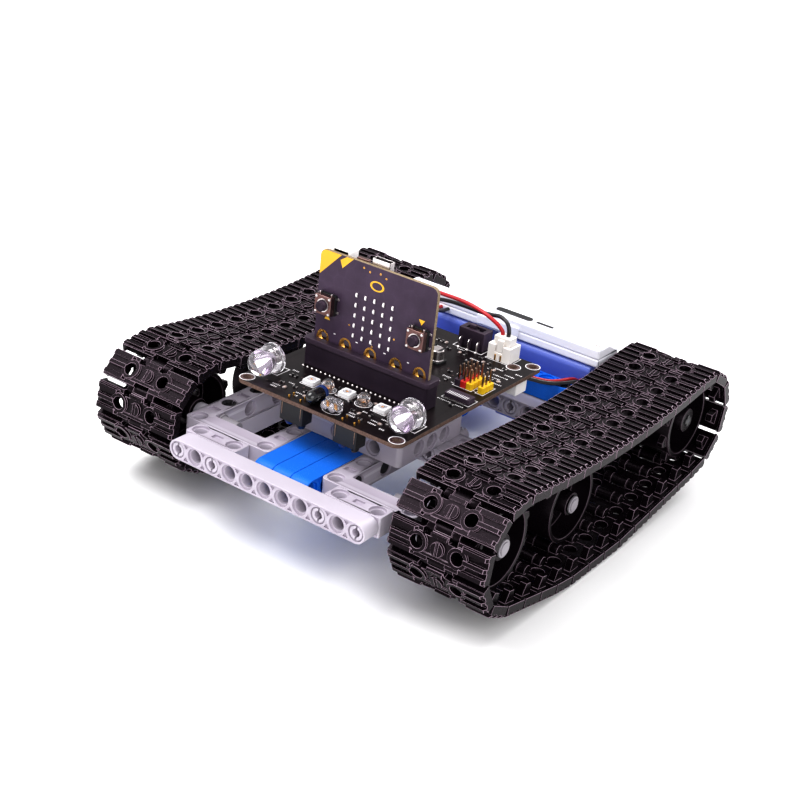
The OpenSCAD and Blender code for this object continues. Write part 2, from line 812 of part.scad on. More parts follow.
front_beam();
rear_beam();
front_connector(-1);  // front_connector_left
front_connector(1);  // front_connector_right
rear_connector(-1);  // rear_connector_left
rear_connector(1);  // rear_connector_right
mid_connectors();
front_frame(-1);  // front_frame_left
front_frame(1);  // front_frame_right
board_frame();
blue_beam(-1);  // blue_beam_left
blue_beam(0);  // blue_beam_middle
blue_beam(1);  // blue_beam_right
cyan_beam();
lower_rail(-1);  // lower_rail_left
lower_rail(1);  // lower_rail_right
upper_rail(-1);  // upper_rail_left
upper_rail(1);  // upper_rail_right
axle_blocks();
beam_pins();
wheel_pins();
spacer_bushes();
motor(-1);  // motor_left
motor(1);  // motor_right
rear_axle_rod(-1);  // rear_axle_left
rear_axle_rod(1);  // rear_axle_right
rear_sprocket(-1);  // rear_sprocket_left
rear_sprocket(1);  // rear_sprocket_right
front_sprocket(-1);  // front_sprocket_left
front_sprocket(1);  // front_sprocket_right
mid_wheel(-1);  // mid_wheel_left
mid_wheel(1);  // mid_wheel_right
track(-1, 0, upper_links - 1);  // track_left_upper
track(-1, upper_links, links - 1);  // track_left_lower
track(1, 0, upper_links - 1);  // track_right_upper
track(1, upper_links, links - 1);  // track_right_lower
main_board();
board_posts();
edge_connector();
controller_board();
button_cases();
button(-button_x);  // button_a
button(button_x);  // button_b
reset_button();
switch_body();
switch_lever();
power_socket();
power_plug();
headlights();
line_sensors();
pin_headers();
motor_sockets();
battery_tray();
battery_lid();
battery_cells();
battery_lead_red();
battery_lead_black();
motor_lead_red();
motor_lead_black();
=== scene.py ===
import math
import random

import bmesh
import bpy
from mathutils import Matrix, Vector


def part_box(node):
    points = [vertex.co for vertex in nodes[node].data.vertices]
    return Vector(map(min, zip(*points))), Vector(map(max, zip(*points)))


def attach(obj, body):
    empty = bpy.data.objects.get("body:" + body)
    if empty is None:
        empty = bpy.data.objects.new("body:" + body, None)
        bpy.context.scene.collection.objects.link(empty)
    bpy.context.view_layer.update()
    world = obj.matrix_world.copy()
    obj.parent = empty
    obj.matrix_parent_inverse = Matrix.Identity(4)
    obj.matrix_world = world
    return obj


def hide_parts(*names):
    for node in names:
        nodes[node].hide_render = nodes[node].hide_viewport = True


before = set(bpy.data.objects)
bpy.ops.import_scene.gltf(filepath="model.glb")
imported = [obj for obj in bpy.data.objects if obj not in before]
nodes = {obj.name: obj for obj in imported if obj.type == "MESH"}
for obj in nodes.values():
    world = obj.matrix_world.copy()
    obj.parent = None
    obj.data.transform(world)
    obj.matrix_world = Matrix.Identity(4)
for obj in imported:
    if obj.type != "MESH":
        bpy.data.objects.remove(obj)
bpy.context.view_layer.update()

MM = 0.001
beam_low, beam_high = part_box("front_beam")
beam_y = beam_low.y / MM - 0.1
beam_z = (beam_low.z + beam_high.z) / 2 / MM
scene = bpy.context.scene


def at(x, y, z):
    """Point of the CAD frame, in metres, from millimetres behind and over the front beam."""
    return Vector((x * MM, (y + beam_y) * MM, (z + beam_z) * MM))


# ---------------------------------------------------------------- camera
# Solved for the photo's view from the front beam, the front frames and the main board
CAMERA_SPOT = (291.9, -362.6, 263.0)
FOCAL_LENGTH, SENSOR_WIDTH = 69.93, 36
azimuth, elevation, roll = (math.radians(degrees) for degrees in (33.5, 25.72, -6.27))
forward = Vector((
    -math.sin(azimuth) * math.cos(elevation),
    math.cos(azimuth) * math.cos(elevation),
    -math.sin(elevation),
))
level = forward.cross(Vector((0, 0, 1))).normalized()
right = math.cos(roll) * level + math.sin(roll) * forward.cross(level)
down = forward.cross(right)
camera_data = bpy.data.cameras.new("camera")
camera_data.sensor_width = SENSOR_WIDTH
camera_data.lens = FOCAL_LENGTH
camera_data.clip_start = 0.01
camera_data.clip_end = 20
camera = bpy.data.objects.new("camera", camera_data)
scene.collection.objects.link(camera)
turn = Matrix((right, -down, -forward)).transposed().to_4x4()
camera.matrix_world = Matrix.Translation(at(*CAMERA_SPOT)) @ turn
scene.camera = camera


# ---------------------------------------------------------------- materials
def new_graph(name):
    material = bpy.data.materials.new(name)
    material.use_nodes = True
    tree = material.node_tree
    tree.nodes.clear()
    shader = tree.nodes.new("ShaderNodeBsdfPrincipled")
    output = tree.nodes.new("ShaderNodeOutputMaterial")
    tree.links.new(shader.outputs["BSDF"], output.inputs["Surface"])
    return material, tree, shader


def add_node(tree, kind, settings=None, **inputs):
    node = tree.nodes.new(kind)
    for key, value in (settings or {}).items():
        setattr(node, key, value)
    for key, value in inputs.items():
        socket = node.inputs[key.replace("_", " ")]
        if isinstance(value, bpy.types.NodeSocket):
            tree.links.new(value, socket)
        else:
            socket.default_value = value
    return node


def ramp(tree, factor, stops):
    """Colour along (place, colour) stops."""
    node = add_node(tree, "ShaderNodeValToRGB", Fac=factor)
    while len(node.color_ramp.elements) < len(stops):
        node.color_ramp.elements.new(0.5)
    for element, (place, colour) in zip(node.color_ramp.elements, stops):
        element.position = place
        element.color = (*colour, 1)
    return node.outputs["Color"]


def tinted(colour, factor):
    return tuple(min(1.0, c * factor) for c in colour)


def mix(tree, factor, first, second):
    node = tree.nodes.new("ShaderNodeMix")
    node.data_type = "RGBA"
    sockets = (node.inputs[0], node.inputs[6], node.inputs[7])
    for socket, value in zip(sockets, (factor, first, second)):
        if isinstance(value, bpy.types.NodeSocket):
            tree.links.new(value, socket)
        else:
            socket.default_value = value if isinstance(value, float) else (*value, 1)
    return node.outputs[2]


def scaled(tree, value, low, high, to_low, to_high):
    """Value mapped from low..high to to_low..to_high."""
    node = tree.nodes.new("ShaderNodeMapRange")
    tree.links.new(value, node.inputs[0])
    for i, number in enumerate((low, high, to_low, to_high)):
        node.inputs[i + 1].default_value = number
    return node.outputs[0]


def surface(name, colour, rough, metallic=0.0, spread=0.06, patch=70.0, grain=2600.0, bump=0.12,
            edge=None, edge_amount=0.0, coat=0.0, specular=0.5, brush=0.0, speck=None, glint=None):
    """Moulded or plated surface.

    The tone drifts by spread over patches, the gloss is uneven with a fine grain (or a brushed one),
    and edge, speck and glint colour the edges (painted lighter, partly wear and partly a painted highlight),
    small specks and the shine.
    """
    material, tree, shader = new_graph(name)
    coords = add_node(tree, "ShaderNodeTexCoord").outputs["Object"]
    broad = add_node(tree, "ShaderNodeTexNoise", Vector=coords, Scale=patch, Detail=4.0).outputs["Fac"]
    base = ramp(tree, broad, [(0.3, tinted(colour, 1 - spread)), (0.7, tinted(colour, 1 + spread))])
    if speck:
        dots = add_node(tree, "ShaderNodeTexNoise", Vector=coords, Scale=900.0, Detail=1.0).outputs["Fac"]
        base = mix(tree, scaled(tree, dots, 0.62, 0.7, 0.0, 0.6), base, speck)
    # Convex edges painted lighter: partly wear, partly a painted highlight
    if edge:
        point = add_node(tree, "ShaderNodeNewGeometry").outputs["Pointiness"]
        base = mix(tree, scaled(tree, point, 0.51, 0.58, 0.0, edge_amount), base, edge)
    tree.links.new(base, shader.inputs["Base Color"])
    if brush:
        stretch = add_node(tree, "ShaderNodeMapping", Vector=coords, Scale=(1.0, 14.0, 1.0))
        fine = add_node(tree, "ShaderNodeTexNoise", Vector=stretch.outputs[0], Scale=brush, Detail=3.0)
    else:
        fine = add_node(tree, "ShaderNodeTexNoise", Vector=coords, Scale=grain, Detail=2.0)
    gloss = add_node(tree, "ShaderNodeMath", {"operation": "ADD"})
    tree.links.new(scaled(tree, broad, 0.3, 0.7, rough * 0.82, rough * 1.12), gloss.inputs[0])
    tree.links.new(scaled(tree, fine.outputs["Fac"], 0.3, 0.7, -0.03, 0.04), gloss.inputs[1])
    tree.links.new(gloss.outputs[0], shader.inputs["Roughness"])
    bumps = add_node(tree, "ShaderNodeBump", Strength=bump, Distance=0.0001, Height=fine.outputs["Fac"])
    tree.links.new(bumps.outputs["Normal"], shader.inputs["Normal"])
    shader.inputs["Metallic"].default_value = metallic
    shader.inputs["Coat Weight"].default_value = coat
    shader.inputs["Specular IOR Level"].default_value = specular
    if glint:
        shader.inputs["Specular Tint"].default_value = (*glint, 1)
    return material


def board_surface(name, face_axis, mask, edge):
    """Board with a dark mask on the faces across face_axis, faint tracks under it, and bare edges."""
    material, tree, shader = new_graph(name)
    coords = add_node(tree, "ShaderNodeTexCoord").outputs["Object"]
    parts = add_node(tree, "ShaderNodeSeparateXYZ")
    tree.links.new(coords, parts.inputs[0])
    flat = add_node(tree, "ShaderNodeCombineXYZ")
    tree.links.new(parts.outputs[0], flat.inputs[0])
    tree.links.new(parts.outputs[1 if face_axis == 2 else 2], flat.inputs[1])
    lines = add_node(tree, "ShaderNodeTexVoronoi",
                     {"feature": "DISTANCE_TO_EDGE", "voronoi_dimensions": "2D"},
                     Vector=flat.outputs[0], Scale=230.0, Randomness=0.55)
    tracks = scaled(tree, lines.outputs["Distance"], 0.03, 0.07, 1.0, 0.0)
    broad = add_node(tree, "ShaderNodeTexNoise", Vector=coords, Scale=90.0, Detail=5.0).outputs["Fac"]
    face = ramp(tree, broad, [(0.3, tinted(mask, 0.8)), (0.7, tinted(mask, 1.25))])
    gated = add_node(tree, "ShaderNodeMath", {"operation": "MULTIPLY"})
    tree.links.new(tracks, gated.inputs[0])
    tree.links.new(scaled(tree, broad, 0.42, 0.6, 0.0, 0.35), gated.inputs[1])
    face = mix(tree, gated.outputs[0], face, tinted(mask, 1.35))
    weave = add_node(tree, "ShaderNodeTexNoise", Vector=coords, Scale=1600.0, Detail=2.0).outputs["Fac"]
    side = ramp(tree, weave, [(0.35, tinted(edge, 0.7)), (0.65, tinted(edge, 1.15))])
    normal = add_node(tree, "ShaderNodeNewGeometry").outputs["True Normal"]
    split = add_node(tree, "ShaderNodeSeparateXYZ")
    tree.links.new(normal, split.inputs[0])
    size = add_node(tree, "ShaderNodeMath", {"operation": "ABSOLUTE"})
    tree.links.new(split.outputs[face_axis], size.inputs[0])
    on_face = scaled(tree, size.outputs[0], 0.55, 0.65, 0.0, 1.0)
    tree.links.new(mix(tree, on_face, side, face), shader.inputs["Base Color"])
    tree.links.new(scaled(tree, on_face, 0.0, 1.0, 0.7, 0.3), shader.inputs["Roughness"])
    height = add_node(tree, "ShaderNodeMath", {"operation": "ADD"})
    tree.links.new(gated.outputs[0], height.inputs[0])
    tree.links.new(scaled(tree, weave, 0.3, 0.7, 0.0, 0.3), height.inputs[1])
    bumps = add_node(tree, "ShaderNodeBump", Strength=0.3, Distance=0.00005, Height=height.outputs[0])
    tree.links.new(bumps.outputs["Normal"], shader.inputs["Normal"])
    shader.inputs["Specular IOR Level"].default_value = 0.16
    return material


def clear_surface(name, colour, rough):
    """Clear moulded resin with slight ripples."""
    material, tree, shader = new_graph(name)
    coords = add_node(tree, "ShaderNodeTexCoord").outputs["Object"]
    broad = add_node(tree, "ShaderNodeTexNoise", Vector=coords, Scale=260.0, Detail=2.0).outputs["Fac"]
    tint = ramp(tree, broad, [(0.3, tinted(colour, 0.96)), (0.7, colour)])
    tree.links.new(tint, shader.inputs["Base Color"])
    tree.links.new(scaled(tree, broad, 0.3, 0.7, rough, rough * 2), shader.inputs["Roughness"])
    bumps = add_node(tree, "ShaderNodeBump", Strength=0.25, Distance=0.0002, Height=broad)
    tree.links.new(bumps.outputs["Normal"], shader.inputs["Normal"])
    shader.inputs["Transmission Weight"].default_value = 0.92
    shader.inputs["IOR"].default_value = 1.46
    return material


# The edge colours in the table below are lighter than their bodies: partly wear, partly a painted highlight
# on the edges
EDGE_WEAR_AND_HIGHLIGHT = (0.95, 0.95, 0.98)
PURPLISH = (1.0, 0.78, 0.94)
MATERIALS = {
    "grey": surface("brick_grey", (0.42, 0.375, 0.445), 0.40, spread=0.03, specular=0.4,
                    edge=EDGE_WEAR_AND_HIGHLIGHT, edge_amount=0.35),
    "cyan": surface("brick_blue", (0.0, 0.115, 0.62), 0.26, spread=0.06, specular=0.1,
                    edge=(0.1, 0.4, 0.9), edge_amount=0.4),
    "blue": surface("housing_blue", (0.075, 0.12, 0.50), 0.42, spread=0.08,
                    edge=(0.35, 0.42, 0.8), edge_amount=0.4),
    "track": surface("track_black", (0.0045, 0.0026, 0.0040), 0.26, spread=0.25, patch=50.0, bump=0.2,
                     specular=0.14, speck=(0.012, 0.008, 0.011), glint=PURPLISH),
    # Painted highlight: the lighter colour on the tracks' rounded edges, standing in for thin glints
    "track_edge_highlight": surface("track_edge_highlight", (0.34, 0.25, 0.31), 0.3, spread=0.2, bump=0.2, specular=0.3),
    "wheel": surface("wheel_black", (0.0045, 0.0028, 0.0042), 0.3, spread=0.2, bump=0.15,
                     specular=0.14, glint=PURPLISH),
    # Painted highlight: the lighter colour on the wheels' rounded edges
    "wheel_edge_highlight": surface("wheel_edge_highlight", (0.10, 0.07, 0.09), 0.3, spread=0.2, bump=0.15, specular=0.3),
    "pin_black": surface("pin_black", (0.02, 0.019, 0.022), 0.4, spread=0.15),
    "pin_grey": surface("pin_grey", (0.30, 0.28, 0.31), 0.4, spread=0.08),
    "board": board_surface("main_board_mask", 2, (0.0085, 0.0052, 0.0065), (0.16, 0.105, 0.085)),
    # The card's mask is painted much lighter than the main board's: its own dark colour plus a painted sheen
    "card": board_surface("card_mask_and_painted_sheen", 1, (0.062, 0.041, 0.070), (0.30, 0.235, 0.16)),
    "black": surface("connector_black", (0.024, 0.016, 0.027), 0.46, spread=0.15, grain=3200.0,
                     bump=0.2, specular=0.3, edge=(0.12, 0.085, 0.12), edge_amount=0.5,
                     glint=PURPLISH),
    "chip": surface("chip_black", (0.012, 0.012, 0.014), 0.5, spread=0.2, bump=0.25),
    "gloss": surface("filter_black", (0.006, 0.006, 0.008), 0.12, spread=0.2, bump=0.04, coat=0.6),
    "ivory": surface("connector_white", (0.80, 0.76, 0.72), 0.42, spread=0.05,
                     edge=EDGE_WEAR_AND_HIGHLIGHT, edge_amount=0.4),
    "box": surface("box_white", (0.80, 0.80, 0.86), 0.32, spread=0.03,
                   edge=EDGE_WEAR_AND_HIGHLIGHT, edge_amount=0.4),
    "red_plastic": surface("header_red", (0.62, 0.03, 0.025), 0.38, spread=0.1),
    "yellow_plastic": surface("header_yellow", (0.80, 0.52, 0.015), 0.38, spread=0.1),
    "led_white": surface("led_white", (0.86, 0.85, 0.86), 0.36, spread=0.05),
    "tan": surface("ceramic_tan", (0.46, 0.37, 0.34), 0.5, spread=0.15),
    "print": surface("print_white", (0.82, 0.80, 0.82), 0.6, spread=0.06, bump=0.05),
    "yellow_print": surface("print_yellow", (0.78, 0.46, 0.03), 0.5, spread=0.06, bump=0.05),
    "tin": surface("tin", (0.66, 0.62, 0.62), 0.3, 1.0, spread=0.08, brush=300.0),
    "steel": surface("post_metal", (0.60, 0.60, 0.62), 0.28, 1.0, spread=0.06, brush=500.0),
    "case": surface("case_metal", (0.16, 0.085, 0.08), 0.36, 1.0, spread=0.12, brush=400.0,
                    edge=(0.5, 0.4, 0.38), edge_amount=0.15),
    "header_pin": surface("header_pin", (0.42, 0.29, 0.22), 0.3, 1.0, spread=0.12, brush=350.0),
    "gold": surface("contact_gold", (0.72, 0.40, 0.10), 0.3, 1.0, spread=0.12, brush=350.0),
    "amber": surface("amber", (0.70, 0.28, 0.03), 0.3, spread=0.15, coat=0.3),
    "sensor_blue": surface("sensor_blue", (0.012, 0.035, 0.15), 0.25, spread=0.15, coat=0.3),
    "cell": surface("cell_wrap", (0.05, 0.30, 0.16), 0.3, spread=0.08, coat=0.3),
    "lens": clear_surface("lens_clear", (0.93, 0.91, 0.95), 0.02),
    "mirror": surface("reflector", (0.62, 0.56, 0.64), 0.08, 1.0, spread=0.04, brush=200.0),
    "lead_red": surface("lead_red", (0.42, 0.012, 0.02), 0.42, spread=0.12, patch=140.0, bump=0.2,
                        coat=0.15),
    "lead_black": surface("lead_black", (0.016, 0.014, 0.018), 0.42, spread=0.2, patch=140.0,
                          bump=0.2, coat=0.15),
}


# ---------------------------------------------------------------- mesh tools
def place(x, y, z, faces="up", spin=0.0):
    """Local frame at a point, with its Z along the named direction and spun about that Z."""
    turns = {
        "up": Matrix.Identity(4),
        "down": Matrix.Rotation(math.pi, 4, "X"),
        "front": Matrix.Rotation(math.pi / 2, 4, "X"),
        "rear": Matrix.Rotation(-math.pi / 2, 4, "X"),
    }
    return Matrix.Translation((x, y, z)) @ turns[faces] @ Matrix.Rotation(math.radians(spin), 4, "Z")


HERE = Matrix.Identity(4)
SMOOTH_BELOW, BEVEL_ABOVE = 36, 38  # degrees between two faces


class Shape:
    """A piece's mesh while it is made, in millimetres; tint names one of the piece's materials."""

    def __init__(self, *tints):
        self.bm = bmesh.new()
        self.tints = tints

    def add(self, points, faces, tint, where=HERE):
        made = [self.bm.verts.new(at(*(where @ Vector(p)))) for p in points]
        for face in faces:
            self.bm.faces.new([made[i] for i in face]).material_index = self.tints.index(tint)

    def prism(self, outline, low, high, tint, where=HERE, top=1.0):
        """Outline raised from low to high; top scales its upper face about its middle."""
        n = len(outline)
        cx = sum(p[0] for p in outline) / n
        cy = sum(p[1] for p in outline) / n
        points = [(x, y, low) for x, y in outline]
        points += [(cx + (x - cx) * top, cy + (y - cy) * top, high) for x, y in outline]
        faces = [tuple(reversed(range(n))), tuple(range(n, 2 * n))]
        faces += [(i, (i + 1) % n, n + (i + 1) % n, n + i) for i in range(n)]
        self.add(points, faces, tint, where)

    def block(self, low, high, tint, where=HERE, chamfer=0.0, top=1.0):
        cx, cy = (low[0] + high[0]) / 2, (low[1] + high[1]) / 2
        outline = rounded_outline(high[0] - low[0], high[1] - low[1], chamfer, 1)
        self.prism([(x + cx, y + cy) for x, y in outline], low[2], high[2], tint, where, top)

    def lathe(self, profile, tint, where=HERE, sides=24, closed=False):
        """Turned solid: profile of (radius, height). A closed one is a ring."""
        rings, points, faces = [], [], []
        for r, h in profile:
            if r < 1e-6:
                rings.append([len(points)])
                points.append((0, 0, h))
            else:
                rings.append(list(range(len(points), len(points) + sides)))
                angles = [2 * math.pi * i / sides for i in range(sides)]
                points += [(r * math.cos(a), r * math.sin(a), h) for a in angles]
        pairs = list(zip(rings, rings[1:] + rings[:1]))
        for a, b in pairs if closed else pairs[:-1]:
            for i in range(sides):
                j = (i + 1) % sides
                if len(a) == 1:
                    faces.append((a[0], b[j], b[i]))
                elif len(b) == 1:
                    faces.append((a[i], a[j], b[0]))
                else:
                    faces.append((a[i], a[j], b[j], b[i]))
        self.add(points, faces, tint, where)

    def ring(self, inner, outer, low, high, tint, where=HERE, sides=28):
        """Flat ring between two radii."""
        self.lathe([(inner, low), (outer, low), (outer, high), (inner, high)], tint, where, sides, True)

    def disc(self, r, low, high, tint, where=HERE, sides=20):
        self.lathe([(0, low), (r, low), (r, high), (0, high)], tint, where, sides)

    def tube(self, path, r, tint, sides=8, flat=1.0):
        """Round bar along a path; flat squeezes it one way."""
        points, faces = [], []
        line = [Vector(p) for p in path]
        for i, p in enumerate(line):
            along = (line[min(i + 1, len(line) - 1)] - line[max(i - 1, 0)]).normalized()
            guide = Vector((1, 0, 0)) if abs(along.x) < 0.8 else Vector((0, 0, 1))
            u = along.cross(guide).normalized()
            v = along.cross(u)
            for k in range(sides):
                a = 2 * math.pi * (k + 0.5) / sides
                points.append(p + u * (r * math.cos(a)) + v * (r * flat * math.sin(a)))
        n = len(line)
        faces.append(tuple(range(sides)))
        faces.append(tuple(reversed(range((n - 1) * sides, n * sides))))
        for low in range(0, (n - 1) * sides, sides):
            high = low + sides
            for k in range(sides):
                j = (k + 1) % sides
                faces.append((low + k, low + j, high + j, high + k))
        self.add(points, faces, tint)

    def done(self, name, slot, bevel=0.0):
        """The finished piece, on the chassis."""
        bmesh.ops.recalc_face_normals(self.bm, faces=self.bm.faces)
        mesh = bpy.data.meshes.new(name)
        self.bm.to_mesh(mesh)
        self.bm.free()
        for polygon in mesh.polygons:
            polygon.use_smooth = True
        mesh.set_sharp_from_angle(angle=math.radians(SMOOTH_BELOW))
        obj = bpy.data.objects.new(name, mesh)
        scene.collection.objects.link(obj)
        for tint in self.tints:
            mesh.materials.append(MATERIALS[tint])
        if bevel:
            round_edges(obj, bevel)
        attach(obj, "chassis")
        return obj


def round_edges(obj, width, segments=2):
    bevel = obj.modifiers.new("bevel", "BEVEL")
    bevel.width = width * MM
    bevel.segments = segments
    bevel.limit_method = "ANGLE"
    bevel.angle_limit = math.radians(BEVEL_ABOVE)
    bevel.miter_outer = "MITER_ARC"
    bevel.use_clamp_overlap = True


def rounded_outline(w, d, r, steps=4):
    """Rectangle about the origin, with corners of radius r."""
    if r <= 0:
        return [(-w / 2, -d / 2), (w / 2, -d / 2), (w / 2, d / 2), (-w / 2, d / 2)]
    outline = []
    for cx, cy, start in ((1, -1, -90), (1, 1, 0), (-1, 1, 90), (-1, -1, 180)):
        for i in range(steps + 1):
            a = math.radians(start + 90 * i / steps)
            outline.append((cx * (w / 2 - r) + r * math.cos(a), cy * (d / 2 - r) + r * math.sin(a)))
    return outline


# ---------------------------------------------------------------- leads
LEAD_DIAMETER = 1.6
STEPS_BETWEEN_KNOTS = 6


def spline_through(route, steps):
    """Catmull-Rom curve through the route's points."""
    def pick(i):
        return Vector(route[max(0, min(len(route) - 1, i))])

    points = []
    for i in range(len(route) - 1):
        a, b, c, d = pick(i - 1), pick(i), pick(i + 1), pick(i + 2)
        for k in range(steps):
            t = k / steps
            points.append(0.5 * (2 * b + (c - a) * t + (2 * a - 5 * b + 4 * c - d) * t * t
                                 + (3 * b - a - 3 * c + d) * t ** 3))
    return points + [Vector(route[-1])]


def lead(name, route, tint):
    points = [at(*p) for p in spline_through(route, STEPS_BETWEEN_KNOTS)]
    data = bpy.data.curves.new(name + "_wire", "CURVE")
    data.dimensions = "3D"
    line = data.splines.new("POLY")
    line.points.add(len(points) - 1)
    for knot, p in zip(line.points, points):
        knot.co = (*p, 1)
    data.bevel_depth = LEAD_DIAMETER / 2 * MM
    data.bevel_resolution = 3
    data.use_fill_caps = True
    data.materials.append(MATERIALS[tint])
    obj = bpy.data.objects.new(name + "_wire", data)
    scene.collection.objects.link(obj)
    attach(obj, "chassis")
    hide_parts(name)


# The routes repeat those of part.scad
lead("battery_lead_red", [
    (-28, 144.1, 19.4), (-28, 140, 19.8), (-27.6, 135, 22.4), (-26.6, 130, 27), (-24, 125, 32),
    (-18.5, 121, 35.6), (-10, 118.2, 37.2), (-1, 116.4, 38), (6, 115.2, 37.8), (12, 114.4, 36.8),
    (17, 114, 35), (19.6, 114, 33), (20, 114, 31.62)], "lead_red")
lead("battery_lead_black", [
    (-24.6, 144.1, 19.4), (-24.6, 140, 19.8), (-24.4, 135, 21.6), (-23.4, 130, 25), (-20.6, 125.8, 29.2),
    (-15.6, 122.6, 32.4), (-8, 120.2, 34.4), (0, 118.8, 35.2), (7, 117.8, 35.6), (12, 117, 36.4),
    (17, 116, 37.4), (21, 114.8, 36.2), (22.5, 114.1, 33.6), (22.5, 114, 31.62)],
    "lead_black")
lead("motor_lead_red", [
    (28.6, 111.1, 17.4), (28.8, 115, 17.2), (30, 119, 16), (32.4, 123, 14.4), (35.4, 127, 13.2),
    (38.2, 131, 13), (40, 135, 13), (40.8, 138.4, 12.2), (41, 141.4, 10.6), (41, 143.8, 10.2)],
    "lead_red")
lead("motor_lead_black", [
    (31.2, 111.1, 17.4), (31.4, 115, 17), (32.8, 119, 15.6), (35, 123, 14), (37.8, 127, 13.1),
    (40.6, 131, 13), (42.6, 135, 12.9), (43, 138.2, 11.8), (43, 141.2, 8.9), (43, 143.8, 8.3)],
    "lead_black")


# ---------------------------------------------------------------- CAD nodes
WELD_WITHIN = 0.002


def dress(tint, bevel, *names, painted_highlight=None):
    """Material and rounded edges for CAD nodes; the optional edge material paints the rounded edges lighter,
    a painted highlight.
    """
    for name in names:
        obj = nodes[name]
        obj.data.materials.clear()
        obj.data.materials.append(MATERIALS[tint])
        weld = obj.modifiers.new("weld", "WELD")
        weld.merge_threshold = WELD_WITHIN * MM
        round_edges(obj, bevel, 1 if painted_highlight else 2)
        obj.modifiers["bevel"].use_clamp_overlap = False
        if painted_highlight:
            obj.data.materials.append(MATERIALS[painted_highlight])
            obj.modifiers["bevel"].material = 1


def both(*parts):
    return [f"{part}_{side}" for side in ("left", "right") for part in parts]


dress("grey", 0.22, "front_beam", "rear_beam", "mid_connectors", "board_frame", "axle_blocks",
      *both("front_frame", "front_connector", "rear_connector", "lower_rail", "upper_rail"))
dress("cyan", 0.22, "blue_beam_left", "blue_beam_middle", "blue_beam_right", "cyan_beam")
dress("blue", 0.4, *both("motor"))
dress("grey", 0.15, "spacer_bushes")
dress("pin_black", 0.12, "beam_pins", *both("rear_axle"))
dress("pin_grey", 0.12, "wheel_pins")
# Wheels and tracks get a lighter material on their rounded edges: a painted highlight
dress("wheel", 0.2, *both("rear_sprocket", "front_sprocket", "mid_wheel"), painted_highlight="wheel_edge_highlight")
dress("track", 0.11, "track_left_upper", "track_left_lower", "track_right_upper", "track_right_lower",
      painted_highlight="track_edge_highlight")
dress("board", 0.1, "main_board")
dress("card", 0.1, "controller_board")
dress("steel", 0.15, "board_posts")
dress("black", 0.3, "edge_connector")
dress("case", 0.25, "button_cases")
dress("black", 0.15, "button_a", "button_b", "reset_button", "switch_body", "switch_lever")
dress("chip", 0.3, "line_sensors")
dress("ivory", 0.25, "power_socket", "power_plug", "motor_sockets")
dress("box", 0.6, "battery_tray", "battery_lid")
dress("cell", 0.2, "battery_cells")


# ---------------------------------------------------------------- main board
BOARD = 22.0  # the main board's upper face
CARD_FRONT, CARD_REAR = 55.8, 57.4
INK, LINE = 0.05, 0.28  # thickness of print and plating, and width of printed lines
BOARD_HOLES = ((-33.6, 28.4), (33.6, 28.4), (-33.6, 116.4), (33.6, 116.4), (28.6, 110.4))
SQUARE_LAMPS = ((-14.7, 41.8), (0.4, 43.4), (16.5, 43))
DOME_LAMPS = ((-7, 41.6), (8.6, 42.3))
HEADLIGHTS = ((-30.2, 38.6), (31.6, 39.8))
RECEIVER_X, TWIN_X = -3.6, 4.3
dice = random.Random(4)


marks = Shape("print")


def bar(x, y, w, d):
    marks.prism(rounded_outline(w, d, 0), 0, INK, "print", place(x, y, BOARD))


def frame_line(x, y, w, d):
    for side in (-1, 1):
        bar(x + side * (w - LINE) / 2, y, LINE, d)
        bar(x, y + side * (d - LINE) / 2, w - 2 * LINE, LINE)


def ticks(x, y, count, along=(1, 0), size=(0.35, 1.0), gap=0.75):
    """A row of plain short marks of uneven length, where the real board has small print."""
    for i in range(count):
        w, d = size[0], size[1] * dice.uniform(0.45, 1.0)
        if along[1]:
            w, d = d, w
        bar(x + along[0] * i * gap, y + along[1] * i * gap, w, d)


for x, y in BOARD_HOLES:
    marks.ring(2.6, 2.95, 0, INK, "print", place(x, y, BOARD), 32)
for x, y in DOME_LAMPS:
    marks.ring(3.0, 3.3, 0, INK, "print", place(x, y, BOARD), 32)
for x, y in SQUARE_LAMPS:
    frame_line(x, y, 6.4, 6.2)
for x, _ in HEADLIGHTS:
    frame_line(x, 40.8, 6.6, 7.4)
marks.ring(3.5, 3.8, 0, INK, "print", place(TWIN_X, 29.4, BOARD) @ Matrix.Diagonal((1, 0.62, 1, 1)), 32)
for x, y, n in (
    (-24, 31.5, 5), (-23.6, 29.8, 4), (-13.4, 31.8, 4), (-13, 29.6, 3), (9.6, 33.2, 4), (9.8, 31.4, 5),
    (18.4, 34.2, 6), (18.6, 32, 5), (24.4, 31, 3), (-26, 45.4, 4), (22, 45.4, 4), (-20.4, 36.2, 4),
    (-4.8, 36, 3), (12.4, 37.4, 3), (20.6, 37.4, 4), (24, 66.6, 8), (31.8, 66.4, 5), (24.4, 92.4, 6),
    (24.6, 90.4, 7), (31.4, 92.4, 5), (26, 96.4, 8), (27, 99, 9), (30.4, 101.8, 6), (24.6, 104.2, 5),
    (19.6, 97.6, 5), (12.8, 104.6, 6), (4, 108.6, 5), (-6, 104.6, 7), (-14, 100.4, 6), (14.4, 84, 5),
    (14, 78.6, 4), (13.2, 72.4, 5), (33, 105.4, 4), (-20.4, 92.4, 6), (-28, 84.6, 6), (-24.6, 70.4, 7),
    (-10.6, 66.4, 6), (4, 66, 5), (-30, 106, 6),
):
    ticks(x, y, n)
for x in (20.2, 30.0):
    ticks(x, 81.2, 5, (0, 1), (0.35, 1.2), 2.0)
frame_line(25.4, 85.1, 8.4, 11.0)
frame_line(32.8, 84.4, 3.6, 8.8)
frame_line(7.2, 115.2, 13.4, 10.0)
frame_line(21.4, 114.2, 11.2, 9.0)
frame_line(30.1, 71.5, 12.0, 6.4)

